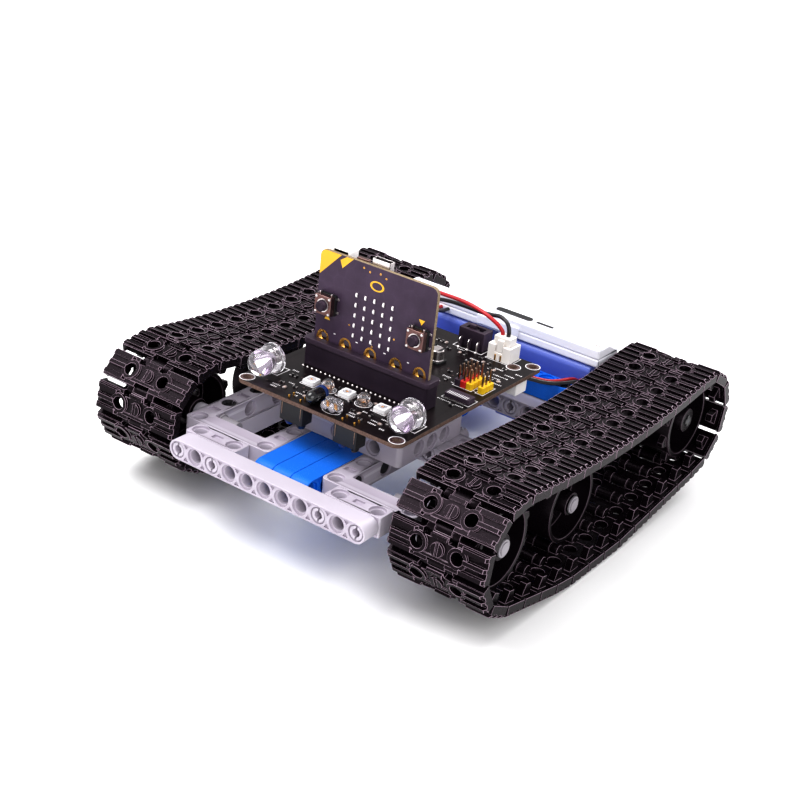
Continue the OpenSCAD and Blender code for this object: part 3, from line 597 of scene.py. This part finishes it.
# Solder on the edge connector's two rows of pins, plated screw holes, vias and the lamps' pads
pads = Shape("tin", "case")
SOLDER_DOME = [(0, 0), (0.52, 0), (0.46, 0.22), (0.25, 0.42), (0, 0.5)]
CONTACT_STEP = 2.1
VIAS = 46
for count, x0, y in ((25, -26.4, 51.4), (24, -25.4, 62.0)):
    for i in range(count):
        pads.lathe(SOLDER_DOME, "tin", place(x0 + i * CONTACT_STEP, y, BOARD), 10)
for x, y in BOARD_HOLES:
    pads.ring(1.6, 2.45, 0, 0.06, "case", place(x, y, BOARD), 28)
for i in range(VIAS):
    x, y = dice.uniform(-33, 34), dice.choice((dice.uniform(30, 46), dice.uniform(62, 108)))
    pads.ring(0.2, 0.42, 0, INK, "case", place(x, y, BOARD), 10)
for x, _ in SQUARE_LAMPS:
    for dx in (-3.0, 3.0):
        for dy in (-1.6, 0, 1.6):
            pads.block((x + dx - 0.5, 42.6 + dy - 0.4, BOARD),
                       (x + dx + 0.5, 42.6 + dy + 0.4, BOARD + 0.35), "tin")
pads.done("solder", slot="contact_gold")

chips = Shape("chip", "tin", "tan")


def resistor(x, y, turned, brown):
    """Small two-ended part, black or brown between its tinned ends."""
    w, d = (0.9, 1.8) if turned else (1.8, 0.9)
    chips.block((x - w / 2, y - d / 2, BOARD), (x + w / 2, y + d / 2, BOARD + 0.55), "tin")
    dx, dy = (w * 0.3, d / 2 + 0.03) if not turned else (w / 2 + 0.03, d * 0.3)
    chips.block((x - dx, y - dy, BOARD + 0.05), (x + dx, y + dy, BOARD + 0.62),
                "tan" if brown else "chip")


def package(x, y, w, d, h, leg_count, across):
    """Chip with a mark at one corner and legs on two sides: left and right if across."""
    chips.block((x - w / 2, y - d / 2, BOARD + 0.1), (x + w / 2, y + d / 2, BOARD + h), "chip", top=0.94)
    marks.ring(0.18, 0.34, 0, 0.03, "print", place(x - w * 0.32, y + d * 0.28, BOARD + h), 12)
    for i in range(leg_count):
        t = (i + 0.5) / leg_count - 0.5
        for side in (-1, 1):
            if across:
                lx, ly, dx, dy = x + side * (w / 2 + 0.45), y + t * d, 0.5, 0.18
            else:
                lx, ly, dx, dy = x + t * w, y + side * (d / 2 + 0.45), 0.18, 0.5
            chips.block((lx - dx, ly - dy, BOARD), (lx + dx, ly + dy, BOARD + 0.28), "tin")


for x, y, turned, brown in (
    (-22, 34.2, 0, 0), (-18.6, 31.4, 1, 1), (-16.2, 34.4, 0, 0), (-11.2, 34, 1, 0), (-9, 31, 0, 1),
    (-8.4, 33.6, 1, 0), (9.4, 35.2, 0, 0), (12.6, 34.6, 1, 1), (15.4, 31.4, 0, 0), (16.4, 36.4, 1, 0),
    (22.6, 33.4, 0, 1), (24.4, 35.6, 1, 0), (21.4, 40.4, 1, 0), (23.6, 40.4, 1, 1), (-21.6, 41.4, 1, 0),
    (-23.6, 41.4, 1, 0), (-10.4, 44.6, 0, 0), (12.2, 45, 0, 1), (4.6, 39.6, 1, 0), (-4.2, 46, 0, 0),
    (22.6, 94.2, 0, 0), (25.8, 94.2, 0, 1), (29, 94.2, 0, 0), (32.2, 94.2, 0, 1), (23.2, 101.6, 1, 0),
    (25.4, 101.6, 1, 1), (27.6, 105.6, 0, 0), (20.8, 105.2, 1, 0), (18.4, 104.8, 1, 1),
    (15.6, 107.4, 0, 0), (9.6, 105.4, 1, 0), (7.2, 105.4, 1, 1), (2, 105.4, 0, 0), (-1.8, 109.2, 1, 1),
    (-3.8, 109.2, 1, 0), (-5.8, 109.2, 1, 0), (-8.6, 108.2, 0, 1), (14.6, 75.4, 1, 0),
    (16.8, 75.4, 1, 1), (14.4, 88.2, 0, 0), (17.4, 81.4, 1, 0), (2, 70, 0, 0), (-3, 70, 0, 1),
    (-21, 76.2, 1, 0), (-23.4, 76.2, 1, 1), (-25.8, 76.2, 1, 0), (-28.4, 96, 0, 0), (-28.4, 98.2, 0, 1),
    (-20, 106.4, 0, 0), (-24, 112.4, 1, 0), (-21.6, 112.4, 1, 1), (-12.6, 112, 0, 0),
    (-12.6, 114.2, 0, 1), (-12.6, 116.4, 0, 0), (31, 64.8, 0, 0),
):
    resistor(x, y, turned, brown)
for x, y, w, d, h, leg_count, across in (
    (-8, 84, 9.8, 7.5, 1.5, 12, False), (6.4, 76, 3.9, 4.9, 1.2, 4, True),
    (-24, 89, 6.2, 5.0, 1.4, 8, True), (-14.6, 72, 3.0, 3.0, 1.0, 3, True),
    (20, 90.4, 3.9, 4.6, 1.2, 4, True), (-5, 100.4, 6.4, 5.2, 1.6, 3, True),
    (14.6, 99.6, 2.9, 1.7, 1.0, 2, False), (20.4, 63.4, 3.0, 1.8, 1.0, 2, False),
):
    package(x, y, w, d, h, leg_count, across)
# Two can capacitors, each with a dark sector on its top
r, h = 3.1, 5.4
for x, y in ((5.4, 92), (-30, 65.4)):
    chips.block((x - r, y - r, BOARD), (x + r, y + r, BOARD + 0.9), "chip", chamfer=0.8)
    chips.lathe([(0, 0.8), (r - 0.3, 0.8), (r - 0.3, 1.2), (r - 0.55, 1.5), (r - 0.3, 1.8),
                 (r - 0.3, h - 0.3), (r - 0.6, h), (0, h)], "tin", place(x, y, BOARD), 28)
    chips.prism([(r * 0.82 * math.cos(math.radians(a)), r * 0.82 * math.sin(math.radians(a)))
                 for a in range(-60, 61, 15)], h - 0.07, h + 0.07, "chip", place(x, y, BOARD))
chips.done("board_parts", slot="connector_black", bevel=0.06)
marks.done("board_print", slot="circuit_board")

# Three square colour lamps, two domed ones, a receiver and a twin lamp at the front edge
lamps = Shape("led_white", "lens", "amber")
for x, y in SQUARE_LAMPS:
    where = place(x, y, BOARD, spin=2)
    lamps.prism(rounded_outline(5.0, 5.0, 0.35, 2), 0, 1.5, "led_white", where, top=0.97)
    lamps.ring(1.75, 2.05, 1.49, 1.62, "led_white", where, 28)
    lamps.disc(1.8, 1.3, 1.56, "lens", where, 24)
    lamps.prism(rounded_outline(0.9, 0.7, 0), 1.5, 1.6, "amber", where)
lamps.done("square_lamps", slot="connector_white", bevel=0.04)

domes, dome_hearts = Shape("lens"), Shape("header_pin", "amber")
for x, y in DOME_LAMPS:
    where = place(x, y, BOARD)
    domes.lathe([(0, 0), (2.7, 0), (2.7, 0.7), (2.45, 0.8), (2.4, 2.2), (2.1, 3.2), (1.4, 4.0), (0, 4.3)],
                "lens", where, 32)
    dome_hearts.lathe([(0, 0.35), (1.2, 0.35), (1.7, 1.2), (1.5, 1.25), (0.9, 0.7), (0, 0.65)],
                      "header_pin", where, 20)
    dome_hearts.block((-0.35, -0.35, 0.6), (0.35, 0.35, 1.1), "amber", where)
    dome_hearts.block((0.9, -0.2, 0.1), (1.4, 0.2, 2.2), "header_pin", where)
domes.done("dome_lamps", slot="lens_clear")
dome_hearts.done("dome_lamp_hearts", slot="contact_gold")

receiver = Shape("gloss", "sensor_blue", "tin")
where = place(RECEIVER_X, 34.2, BOARD + 2.75, "front")
receiver.lathe([(0, 1.0), (2.45, 1.0), (2.45, 5.9), (2.2, 7.0), (1.5, 8.0), (0.7, 8.45), (0, 8.55)],
               "gloss", where, 32)
receiver.lathe([(0, 0), (2.85, 0), (2.85, 1.1), (2.55, 1.2), (0, 1.2)], "sensor_blue", where, 32)
for x in (RECEIVER_X - 1.27, RECEIVER_X + 1.27):
    receiver.tube([(x, 34.0, BOARD + 2.7), (x, 35.4, BOARD + 2.6), (x, 35.9, BOARD + 1.9),
                   (x, 36, BOARD)], 0.26, "tin", 8)
receiver.done("receiver", slot="connector_black")

twin, twin_dies = Shape("lens", "tin"), Shape("gold", "amber")
for x in (TWIN_X - 1.75, TWIN_X + 1.75):
    where = place(x, 30.4, BOARD + 2.2, "front")
    twin.lathe([(0, 0), (1.55, 0), (1.55, 2.7), (1.4, 3.4), (0.9, 4.0), (0, 4.25)], "lens", where, 24)
    twin_dies.block((x - 0.6, 28.9, BOARD + 1.5), (x + 0.6, 29.3, BOARD + 2.9), "gold")
    twin_dies.block((x - 0.3, 28.7, BOARD + 1.9), (x + 0.3, 29.0, BOARD + 2.5), "amber")
twin.block((0.9, 29.6, BOARD + 0.2), (7.7, 32.2, BOARD + 4.0), "lens", chamfer=0.5)
for dx in (-2.5, -1.0, 1.0, 2.5):
    x = TWIN_X + dx
    twin.tube([(x, 31, BOARD + 1.2), (x, 32.8, BOARD + 1.1), (x, 33.1, BOARD)], 0.22, "tin", 6)
twin.done("twin_lamp", slot="lens_clear", bevel=0.15)
twin_dies.done("twin_lamp_dies", slot="contact_gold")


# ---------------------------------------------------------------- headlights
LAMP_HEIGHT = 27.7
LENS_RADIUS, LENS_SHOULDER = 5.0, 6.9
lens_outline = [(0, 0), (5.7, 0), (5.7, 1.0), (5.5, 1.2), (5.05, 1.3), (LENS_RADIUS, LENS_SHOULDER)]
for a in range(15, 90, 15):
    lens_outline.append((LENS_RADIUS * math.cos(math.radians(a)),
                         LENS_SHOULDER + LENS_RADIUS * math.sin(math.radians(a))))
lens_outline.append((0, 11.9))

lenses, inside = Shape("lens"), Shape("mirror", "amber", "tin")
for x, y in HEADLIGHTS:
    where = place(x, y, LAMP_HEIGHT, "front")
    lenses.lathe(lens_outline, "lens", where, 40)
    inside.lathe([(0, 2.0), (1.3, 2.0), (3.3, 5.4), (3.1, 5.5), (1.2, 2.6), (0, 2.5)], "mirror", where, 9)
    inside.lathe([(0, 2.5), (0.8, 2.5), (0.6, 3.1), (0, 3.2)], "amber", where, 12)
    for dx in (-1.3, 1.3):
        leg = x + dx
        inside.block((dx - 0.45, -0.7, 0.3), (dx + 0.45, 0.7, 2.2), "tin", where)
        inside.tube([(leg, y - 0.4, LAMP_HEIGHT), (leg, y + 1.6, LAMP_HEIGHT), (leg, y + 2.1, 27.2),
                     (leg, y + 2.2, 26.4), (leg, y + 2.2, BOARD)], 0.3, "tin", 8)
        inside.lathe([(0, 0), (0.8, 0), (0.55, 0.35), (0, 0.6)], "tin", place(leg, y + 2.2, BOARD), 12)
lenses.done("headlight_lenses", slot="lens_clear")
inside_piece = inside.done("headlight_hearts", slot="post_metal")
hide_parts("headlights")

# ---------------------------------------------------------------- line sensors' fittings
SENSORS_X, SENSOR_Y = (-10, 14), 28.1
fittings = Shape("sensor_blue", "gloss", "gold", "header_pin")
for x in SENSORS_X:
    for eye, tint in ((-2.6, "sensor_blue"), (2.6, "gloss")):
        fittings.lathe([(0, 0), (1.72, 0), (1.72, 0.6), (1.3, 1.3), (0, 1.7)], tint,
                       place(x + eye, SENSOR_Y, 12.7, "down"), 20)
        for y in (SENSOR_Y - 1.27, SENSOR_Y + 1.27):
            fittings.block((x + eye - 0.3, y - 0.3, 19.9), (x + eye + 0.3, y + 0.3, 23.0), "gold")
    for dx in (-4.2, 4.2):
        fittings.block((x + dx - 0.1, 25.05, 15.6), (x + dx + 0.1, 25.25, 20.2), "header_pin")
fittings.done("line_sensor_fittings", slot="connector_black", bevel=0.05)

# ---------------------------------------------------------------- edge connector contacts
contacts = Shape("gold")
for i in range(40):
    x = -24.8 + i * 1.27  # the connector's pitch
    for y in (CARD_FRONT - 0.35, CARD_REAR + 0.35):
        contacts.block((x - 0.3, y - 0.2, 29.0), (x + 0.3, y + 0.2, 32.8), "gold")
contacts.done("edge_contacts", slot="contact_gold")

# ---------------------------------------------------------------- controller board
card = Shape("gold")
RINGS_X, RINGS_Z = (-21.9, -11.4, 0, 11.4, 21.9), 34.0
BUTTON_X, BUTTON_Y, BUTTON_Z = 20.5, 52.2, 47.6
for face, y in (("front", CARD_FRONT), ("rear", CARD_REAR)):
    foot = -5 if face == "front" else 5  # the lower edge, along the face's own Y
    for x in RINGS_X:
        where = place(x, y, RINGS_Z, face)
        card.ring(1.95, 2.65, 0, 0.06, "gold", where, 36)
        for side in (-1, 1):
            card.prism([(side * 1.95, 0), (side * 2.85, 0), (side * 2.85, foot), (side * 1.95, foot)],
                       0, INK, "gold", where)
    for x, z in ((-3.4, 64.8), (1.2, 65.4), (3.8, 64.4), (-6.2, 65.6), (9.6, 43.2), (-10.4, 42.2),
                 (0.4, 37.2)):
        card.ring(0.18, 0.4, 0, INK, "gold", place(x, y, z, face), 12)
for x in RINGS_X:
    card.ring(1.85, 1.96, -1.6, 0.02, "gold", place(x, CARD_FRONT, RINGS_Z, "front"), 36)
card.done("card_gold", slot="contact_gold")

leds = Shape("led_white", "tin")
for i in range(5):
    for j in range(5):
        x, z = -8.2 + i * 4, 38.8 + j * 3.95
        where = place(x, CARD_FRONT, z, "front")
        leds.block((-0.4, -0.85, 0), (0.4, 0.85, 0.3), "tin", where)
        leds.block((-0.36, -0.5, 0.1), (0.36, 0.5, 0.55), "led_white", where)
leds.done("card_lamps", slot="connector_white", bevel=0.05)

art = Shape("yellow_print", "print")


def printed(outline, tint, spot=(0, 0)):
    """Flat mark on the card's front."""
    art.prism([(x + spot[0], z + spot[1]) for x, z in outline], 0, INK, tint,
              place(0, CARD_FRONT, 0, "front"))


printed([(-25.6, 57.6), (-25.6, 65.4), (-24.6, 66.9), (-23.4, 67.3), (-16.4, 67.3)], "yellow_print")
printed([(-15.6, 62.6), (-16.8, 65.4), (-14.0, 67.3), (-11.0, 67.3)], "yellow_print")
art.ring(1.55, 2.15, 0, INK, "yellow_print",
         place(0.2, CARD_FRONT, 60.4, "front") @ Matrix.Diagonal((1.45, 0.9, 1, 1)))
for x, z, flip in ((-BUTTON_X, 42.0, 1), (BUTTON_X, 53.4, -1)):
    printed([(-1.3, -0.9 * flip), (1.3, -0.9 * flip), (0, 1.2 * flip)], "yellow_print", (x, z))
for x, z, w in ((-6.4, 36.6, 1.0), (6.2, 36.6, 1.0), (-16.6, 36.6, 0.8), (16.6, 36.6, 0.8), (0, 38.0, 0.7)):
    printed([(-w / 2, -0.2), (w / 2, -0.2), (w / 2, 0.2), (-w / 2, 0.2)], "print", (x, z))
art.done("card_print", slot="circuit_board")

back = Shape("chip", "tin", "tan", "ivory")
where = place(0, CARD_REAR, 0, "rear")


def on_back(x, z, w, d, h, tint, top=1.0):
    """Block on the card's rear face, w wide, d tall and h thick."""
    back.block((x - w / 2, -z - d / 2, 0), (x + w / 2, -z + d / 2, h), tint, where, top=top)


for x, z, w, d, h in ((9, 53, 6, 6, 0.9), (-9.5, 54, 5, 5, 0.9), (-9, 44, 3, 3, 0.8), (10, 43.6, 3, 3, 0.8)):
    on_back(x, z, w, d, h, "chip", 0.95)
    for i in range(6):
        t = (i - 2.5) * w / 7
        for side in (-1, 1):
            on_back(x + t, z + side * w / 2, 0.3, 0.7, 0.2, "tin")
            on_back(x + side * w / 2, z + t, 0.7, 0.3, 0.2, "tin")
for x, z, across in (
    (-2, 58, 1), (0, 58, 0), (2.4, 56, 1), (-1.6, 53.6, 0), (1.6, 52, 1), (-3, 49, 1), (3, 48, 0),
    (14, 50, 1), (15.6, 47, 0), (-14.4, 50, 1), (-15.6, 58, 0), (15.4, 60, 1), (4.4, 61, 0),
    (-4.6, 62, 1), (0, 45, 1), (0, 42, 0), (6, 40.6, 1), (-6, 40.6, 0),
):
    w, d = (1.6, 0.8) if across else (0.8, 1.6)
    on_back(x, z, w, d, 0.5, "tin")
    on_back(x, z, w * 0.55, d * 0.98 + 0.02, 0.56, "tan")
# Battery socket: two cheeks, a floor, a back wall and two pins
for x in (-21.6, -14.4):
    on_back(x, 65.2, 0.8, 6.2, 5.2, "ivory")
on_back(-18, 62.6, 6.4, 1.0, 5.2, "ivory")
on_back(-18, 65.2, 6.4, 6.2, 1.0, "ivory")
on_back(-18, 65.2, 6.4, 6.2, 0.2, "ivory")
for x in (-19, -17):
    on_back(x, 65.2, 0.5, 4.6, 2.4, "tin")
back.done("card_parts", slot="connector_black", bevel=0.08)

# Metal shell of the small socket at the top edge, open upward
shell = Shape("tin", "chip")
x0, x1, y0, y1, z0, z1 = -4.2, 3.6, CARD_REAR + 0.1, CARD_REAR + 3.0, 64.0, 69.6
for low, high in (((x0, y0, z0), (x1, y0 + 0.3, z1)), ((x0, y1 - 0.3, z0), (x1, y1, z1)),
                  ((x0, y0, z0), (x0 + 0.3, y1, z1)), ((x1 - 0.3, y0, z0), (x1, y1, z1)),
                  ((x0, y0, z0), (x1, y1, z0 + 0.4))):
    shell.block(low, high, "tin")
shell.block((x0 + 1.6, y0 + 1.1, z0), (x1 - 1.6, y0 + 1.7, z1 - 0.8), "chip")
for x in (x0 - 0.5, x1 + 0.5):
    shell.block((x - 0.6, CARD_REAR - 0.1, 64.6), (x + 0.6, CARD_REAR + 0.5, 66.6), "tin")
shell.done("data_socket", slot="case_metal", bevel=0.08)

# Fittings of the front buttons: black base, ring round the button, four rivets, legs and tabs
fronts = Shape("tin", "chip")
for x in (-BUTTON_X, BUTTON_X):
    where = place(x, BUTTON_Y, BUTTON_Z, "front")
    fronts.prism(rounded_outline(7.9, 7.9, 0.4, 2), -3.6, -2.2, "chip", where)
    fronts.ring(2.1, 2.6, 0, 0.12, "tin", where, 28)
    for sx in (-1, 1):
        for sz in (-1, 1):
            fronts.lathe([(0, 0), (0.6, 0), (0.5, 0.28), (0, 0.42)], "tin",
                         place(x + sx * 2.9, BUTTON_Y, BUTTON_Z + sz * 2.9, "front"), 14)
            fronts.block((sx * 4.2 - 0.7, sz * 2.6 - 0.45, -3.62),
                         (sx * 4.2 + 0.7, sz * 2.6 + 0.45, -3.3), "tin", where)
    for dx in (-2.6, 2.6):
        fronts.block((dx - 0.3, 3.7, -3.0), (dx + 0.3, 4.5, -1.5), "tin", where)
fronts.done("button_fronts", slot="case_metal", bevel=0.05)


# ---------------------------------------------------------------- headers
heads = Shape("black", "red_plastic", "yellow_plastic", "header_pin", "tin", "print")
STEP = 2.54
SIGNAL_X = 25.4
PIN_TOP = 30.0
for x, y0, rows, tint in ((SIGNAL_X - STEP, 80, 4, "black"), (SIGNAL_X, 80, 4, "red_plastic"),
                          (SIGNAL_X + STEP, 80, 4, "yellow_plastic"), (32.8, 80.6, 3, "yellow_plastic")):
    for j in range(rows):
        y = y0 + (j + 0.5) * STEP
        heads.block((x - STEP / 2 + 0.01, y - STEP / 2, BOARD),
                    (x + STEP / 2 - 0.01, y + STEP / 2, BOARD + 2.5), tint, chamfer=0.45)
        heads.block((x - 0.3, y - 0.3, BOARD + 2.3), (x + 0.3, y + 0.3, PIN_TOP - 0.4), "header_pin")
        heads.block((x - 0.3, y - 0.3, PIN_TOP - 0.4), (x + 0.3, y + 0.3, PIN_TOP), "header_pin", top=0.5)
# Flat black connector in front of them, with a row of leads
heads.block((24.8, 69, BOARD + 0.1), (35.4, 74, BOARD + 1.9), "black", chamfer=0.4)
heads.block((25.4, 73.2, BOARD + 0.4), (34.0, 74.4, BOARD + 1.4), "black")
for i in range(11):
    x = i * 0.82
    heads.block((25.7 + x, 68.2, BOARD), (26.05 + x, 69.3, BOARD + 0.5), "tin")
    heads.block((25.7 + x, 69.3, BOARD + 1.85), (26.05 + x, 71.6, BOARD + 1.98), "print")
heads_piece = heads.done("headers", slot="connector_black", bevel=0.06)
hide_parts("pin_headers")

# ---------------------------------------------------------------- switch and sockets
legs = Shape("tin", "gold")
for x in (3.2, 7.2, 11.2):
    legs.tube([(x, 112.5, 25.6), (x, 111.2, 25.5), (x, 110.75, 25.1), (x, 110.7, 24.2), (x, 110.7, 22.4),
               (x, 110.4, BOARD)], 0.62, "tin", 8, 0.5)
    legs.lathe([(0, 0), (0.9, 0), (0.6, 0.35), (0, 0.5)], "tin", place(x, 110.6, BOARD), 12)
for x in (20.1, 22.5):
    legs.block((x - 0.3, 110.0, BOARD + 0.2), (x + 0.3, 110.4, BOARD + 2.6), "gold")
    legs.tube([(x, 114, 31.2), (x, 114, 30.6)], 0.5, "gold", 8)
MOTOR_SOCKET_Z = 17.4
for side in (-1, 1):
    for x in (28.6, 31.2):
        legs.tube([(side * x, 110.9, MOTOR_SOCKET_Z), (side * x, 107, MOTOR_SOCKET_Z)], 0.45, "tin", 8)
legs.done("pins_and_legs", slot="post_metal", bevel=0.05)

# ---------------------------------------------------------------- battery box and motors
# On the lid: feet, ribs, screws and two dark plates; on the front, the latch
LID_Y = 148.2
box = Shape("box", "tin", "chip")
for x in (-34, 34):
    box.prism(rounded_outline(9, 3.2, 1.2, 4), 24.7, 25.15, "box", place(x, LID_Y, 0))
for i in range(6):
    box.prism(rounded_outline(1.2, 5, 0.5, 3), 24.7, 25.1, "box", place(-22 + i * 2.4, LID_Y, 0))
for x in (-44.2, 44.2):
    box.lathe([(0, 24.6), (1.5, 24.6), (1.5, 25.0), (1.25, 25.2), (0.75, 25.2), (0.6, 24.9), (0, 24.9)],
              "tin", place(x, LID_Y, 0), 20)
box.prism(rounded_outline(17, 3.4, 1.5, 5), 25.3, 25.7, "chip", place(4.6, 148.3, 0))
box.prism(rounded_outline(8, 1.5, 0.7, 4), 25.3, 25.6, "chip", place(19.2, 148.1, 0))
box.prism(rounded_outline(20, 1.6, 0.6, 3), 18.6, 22.2, "box", place(0, 144.0, 0))
box.done("box_details", slot="box_white", bevel=0.12)

# Screws and a raised line on the motors' rear faces
MOTOR_REAR = 183.9
screws = Shape("blue", "tin")
for side in (-1, 1):
    for x, z in ((8.4, 3.4), (40.4, 3.4), (8.4, -15.6), (40.4, -15.6)):
        screws.lathe([(0, -0.3), (1.5, -0.3), (1.5, 0.15), (1.2, 0.4), (0.7, 0.4), (0.6, 0.1), (0, 0.1)],
                     "tin", place(side * x, MOTOR_REAR, z, "rear"), 20)
    screws.prism(rounded_outline(26, 1.0, 0.4, 3), 183.7, 184.2,
                 "blue", place(side * 28, 0, 0, "rear") @ Matrix.Translation((0, 1.2, 0)))
screws.done("housing_screws", slot="housing_blue", bevel=0.1)


# ---------------------------------------------------------------- floor and light
def disc_light(name, size, location, aim, power):
    data = bpy.data.lights.new(name, "AREA")
    data.shape = "DISK"
    data.size = size
    data.energy = power
    obj = bpy.data.objects.new(name, data)
    obj.location = location
    obj.rotation_euler = (Vector(aim) - Vector(location)).to_track_quat("-Z", "Y").to_euler()
    scene.collection.objects.link(obj)


FLOOR_HALF_WIDTH = 4.0
floor_mesh = bpy.data.meshes.new("floor")
floor_bm = bmesh.new()
bmesh.ops.create_grid(floor_bm, x_segments=4, y_segments=4, size=FLOOR_HALF_WIDTH)
floor_bm.to_mesh(floor_mesh)
floor_bm.free()
floor = bpy.data.objects.new("floor", floor_mesh)
scene.collection.objects.link(floor)
floor_mesh.materials.append(surface("floor_white", (0.93, 0.93, 0.93), 0.9, spread=0.004, patch=3.0,
                                    bump=0.0, specular=0.1))

disc_light("key", 0.9, (-0.55, -0.35, 1.05), (0, 0, 0.03), 16)
disc_light("fill", 1.1, (0.95, -0.75, 0.75), (0, 0, 0.03), 9)
disc_light("rear", 0.8, (0.15, 1.0, 0.8), (0, 0, 0.04), 9)
world = bpy.data.worlds.new("studio")
world.use_nodes = True
background = world.node_tree.nodes["Background"]
background.inputs["Color"].default_value = (1.0, 0.99, 1.0, 1)
background.inputs["Strength"].default_value = 0.85
scene.world = world
scene.view_settings.view_transform = "Standard"
scene.view_settings.look = "None"
scene.view_settings.exposure = 0.0
scene.view_settings.gamma = 0.79
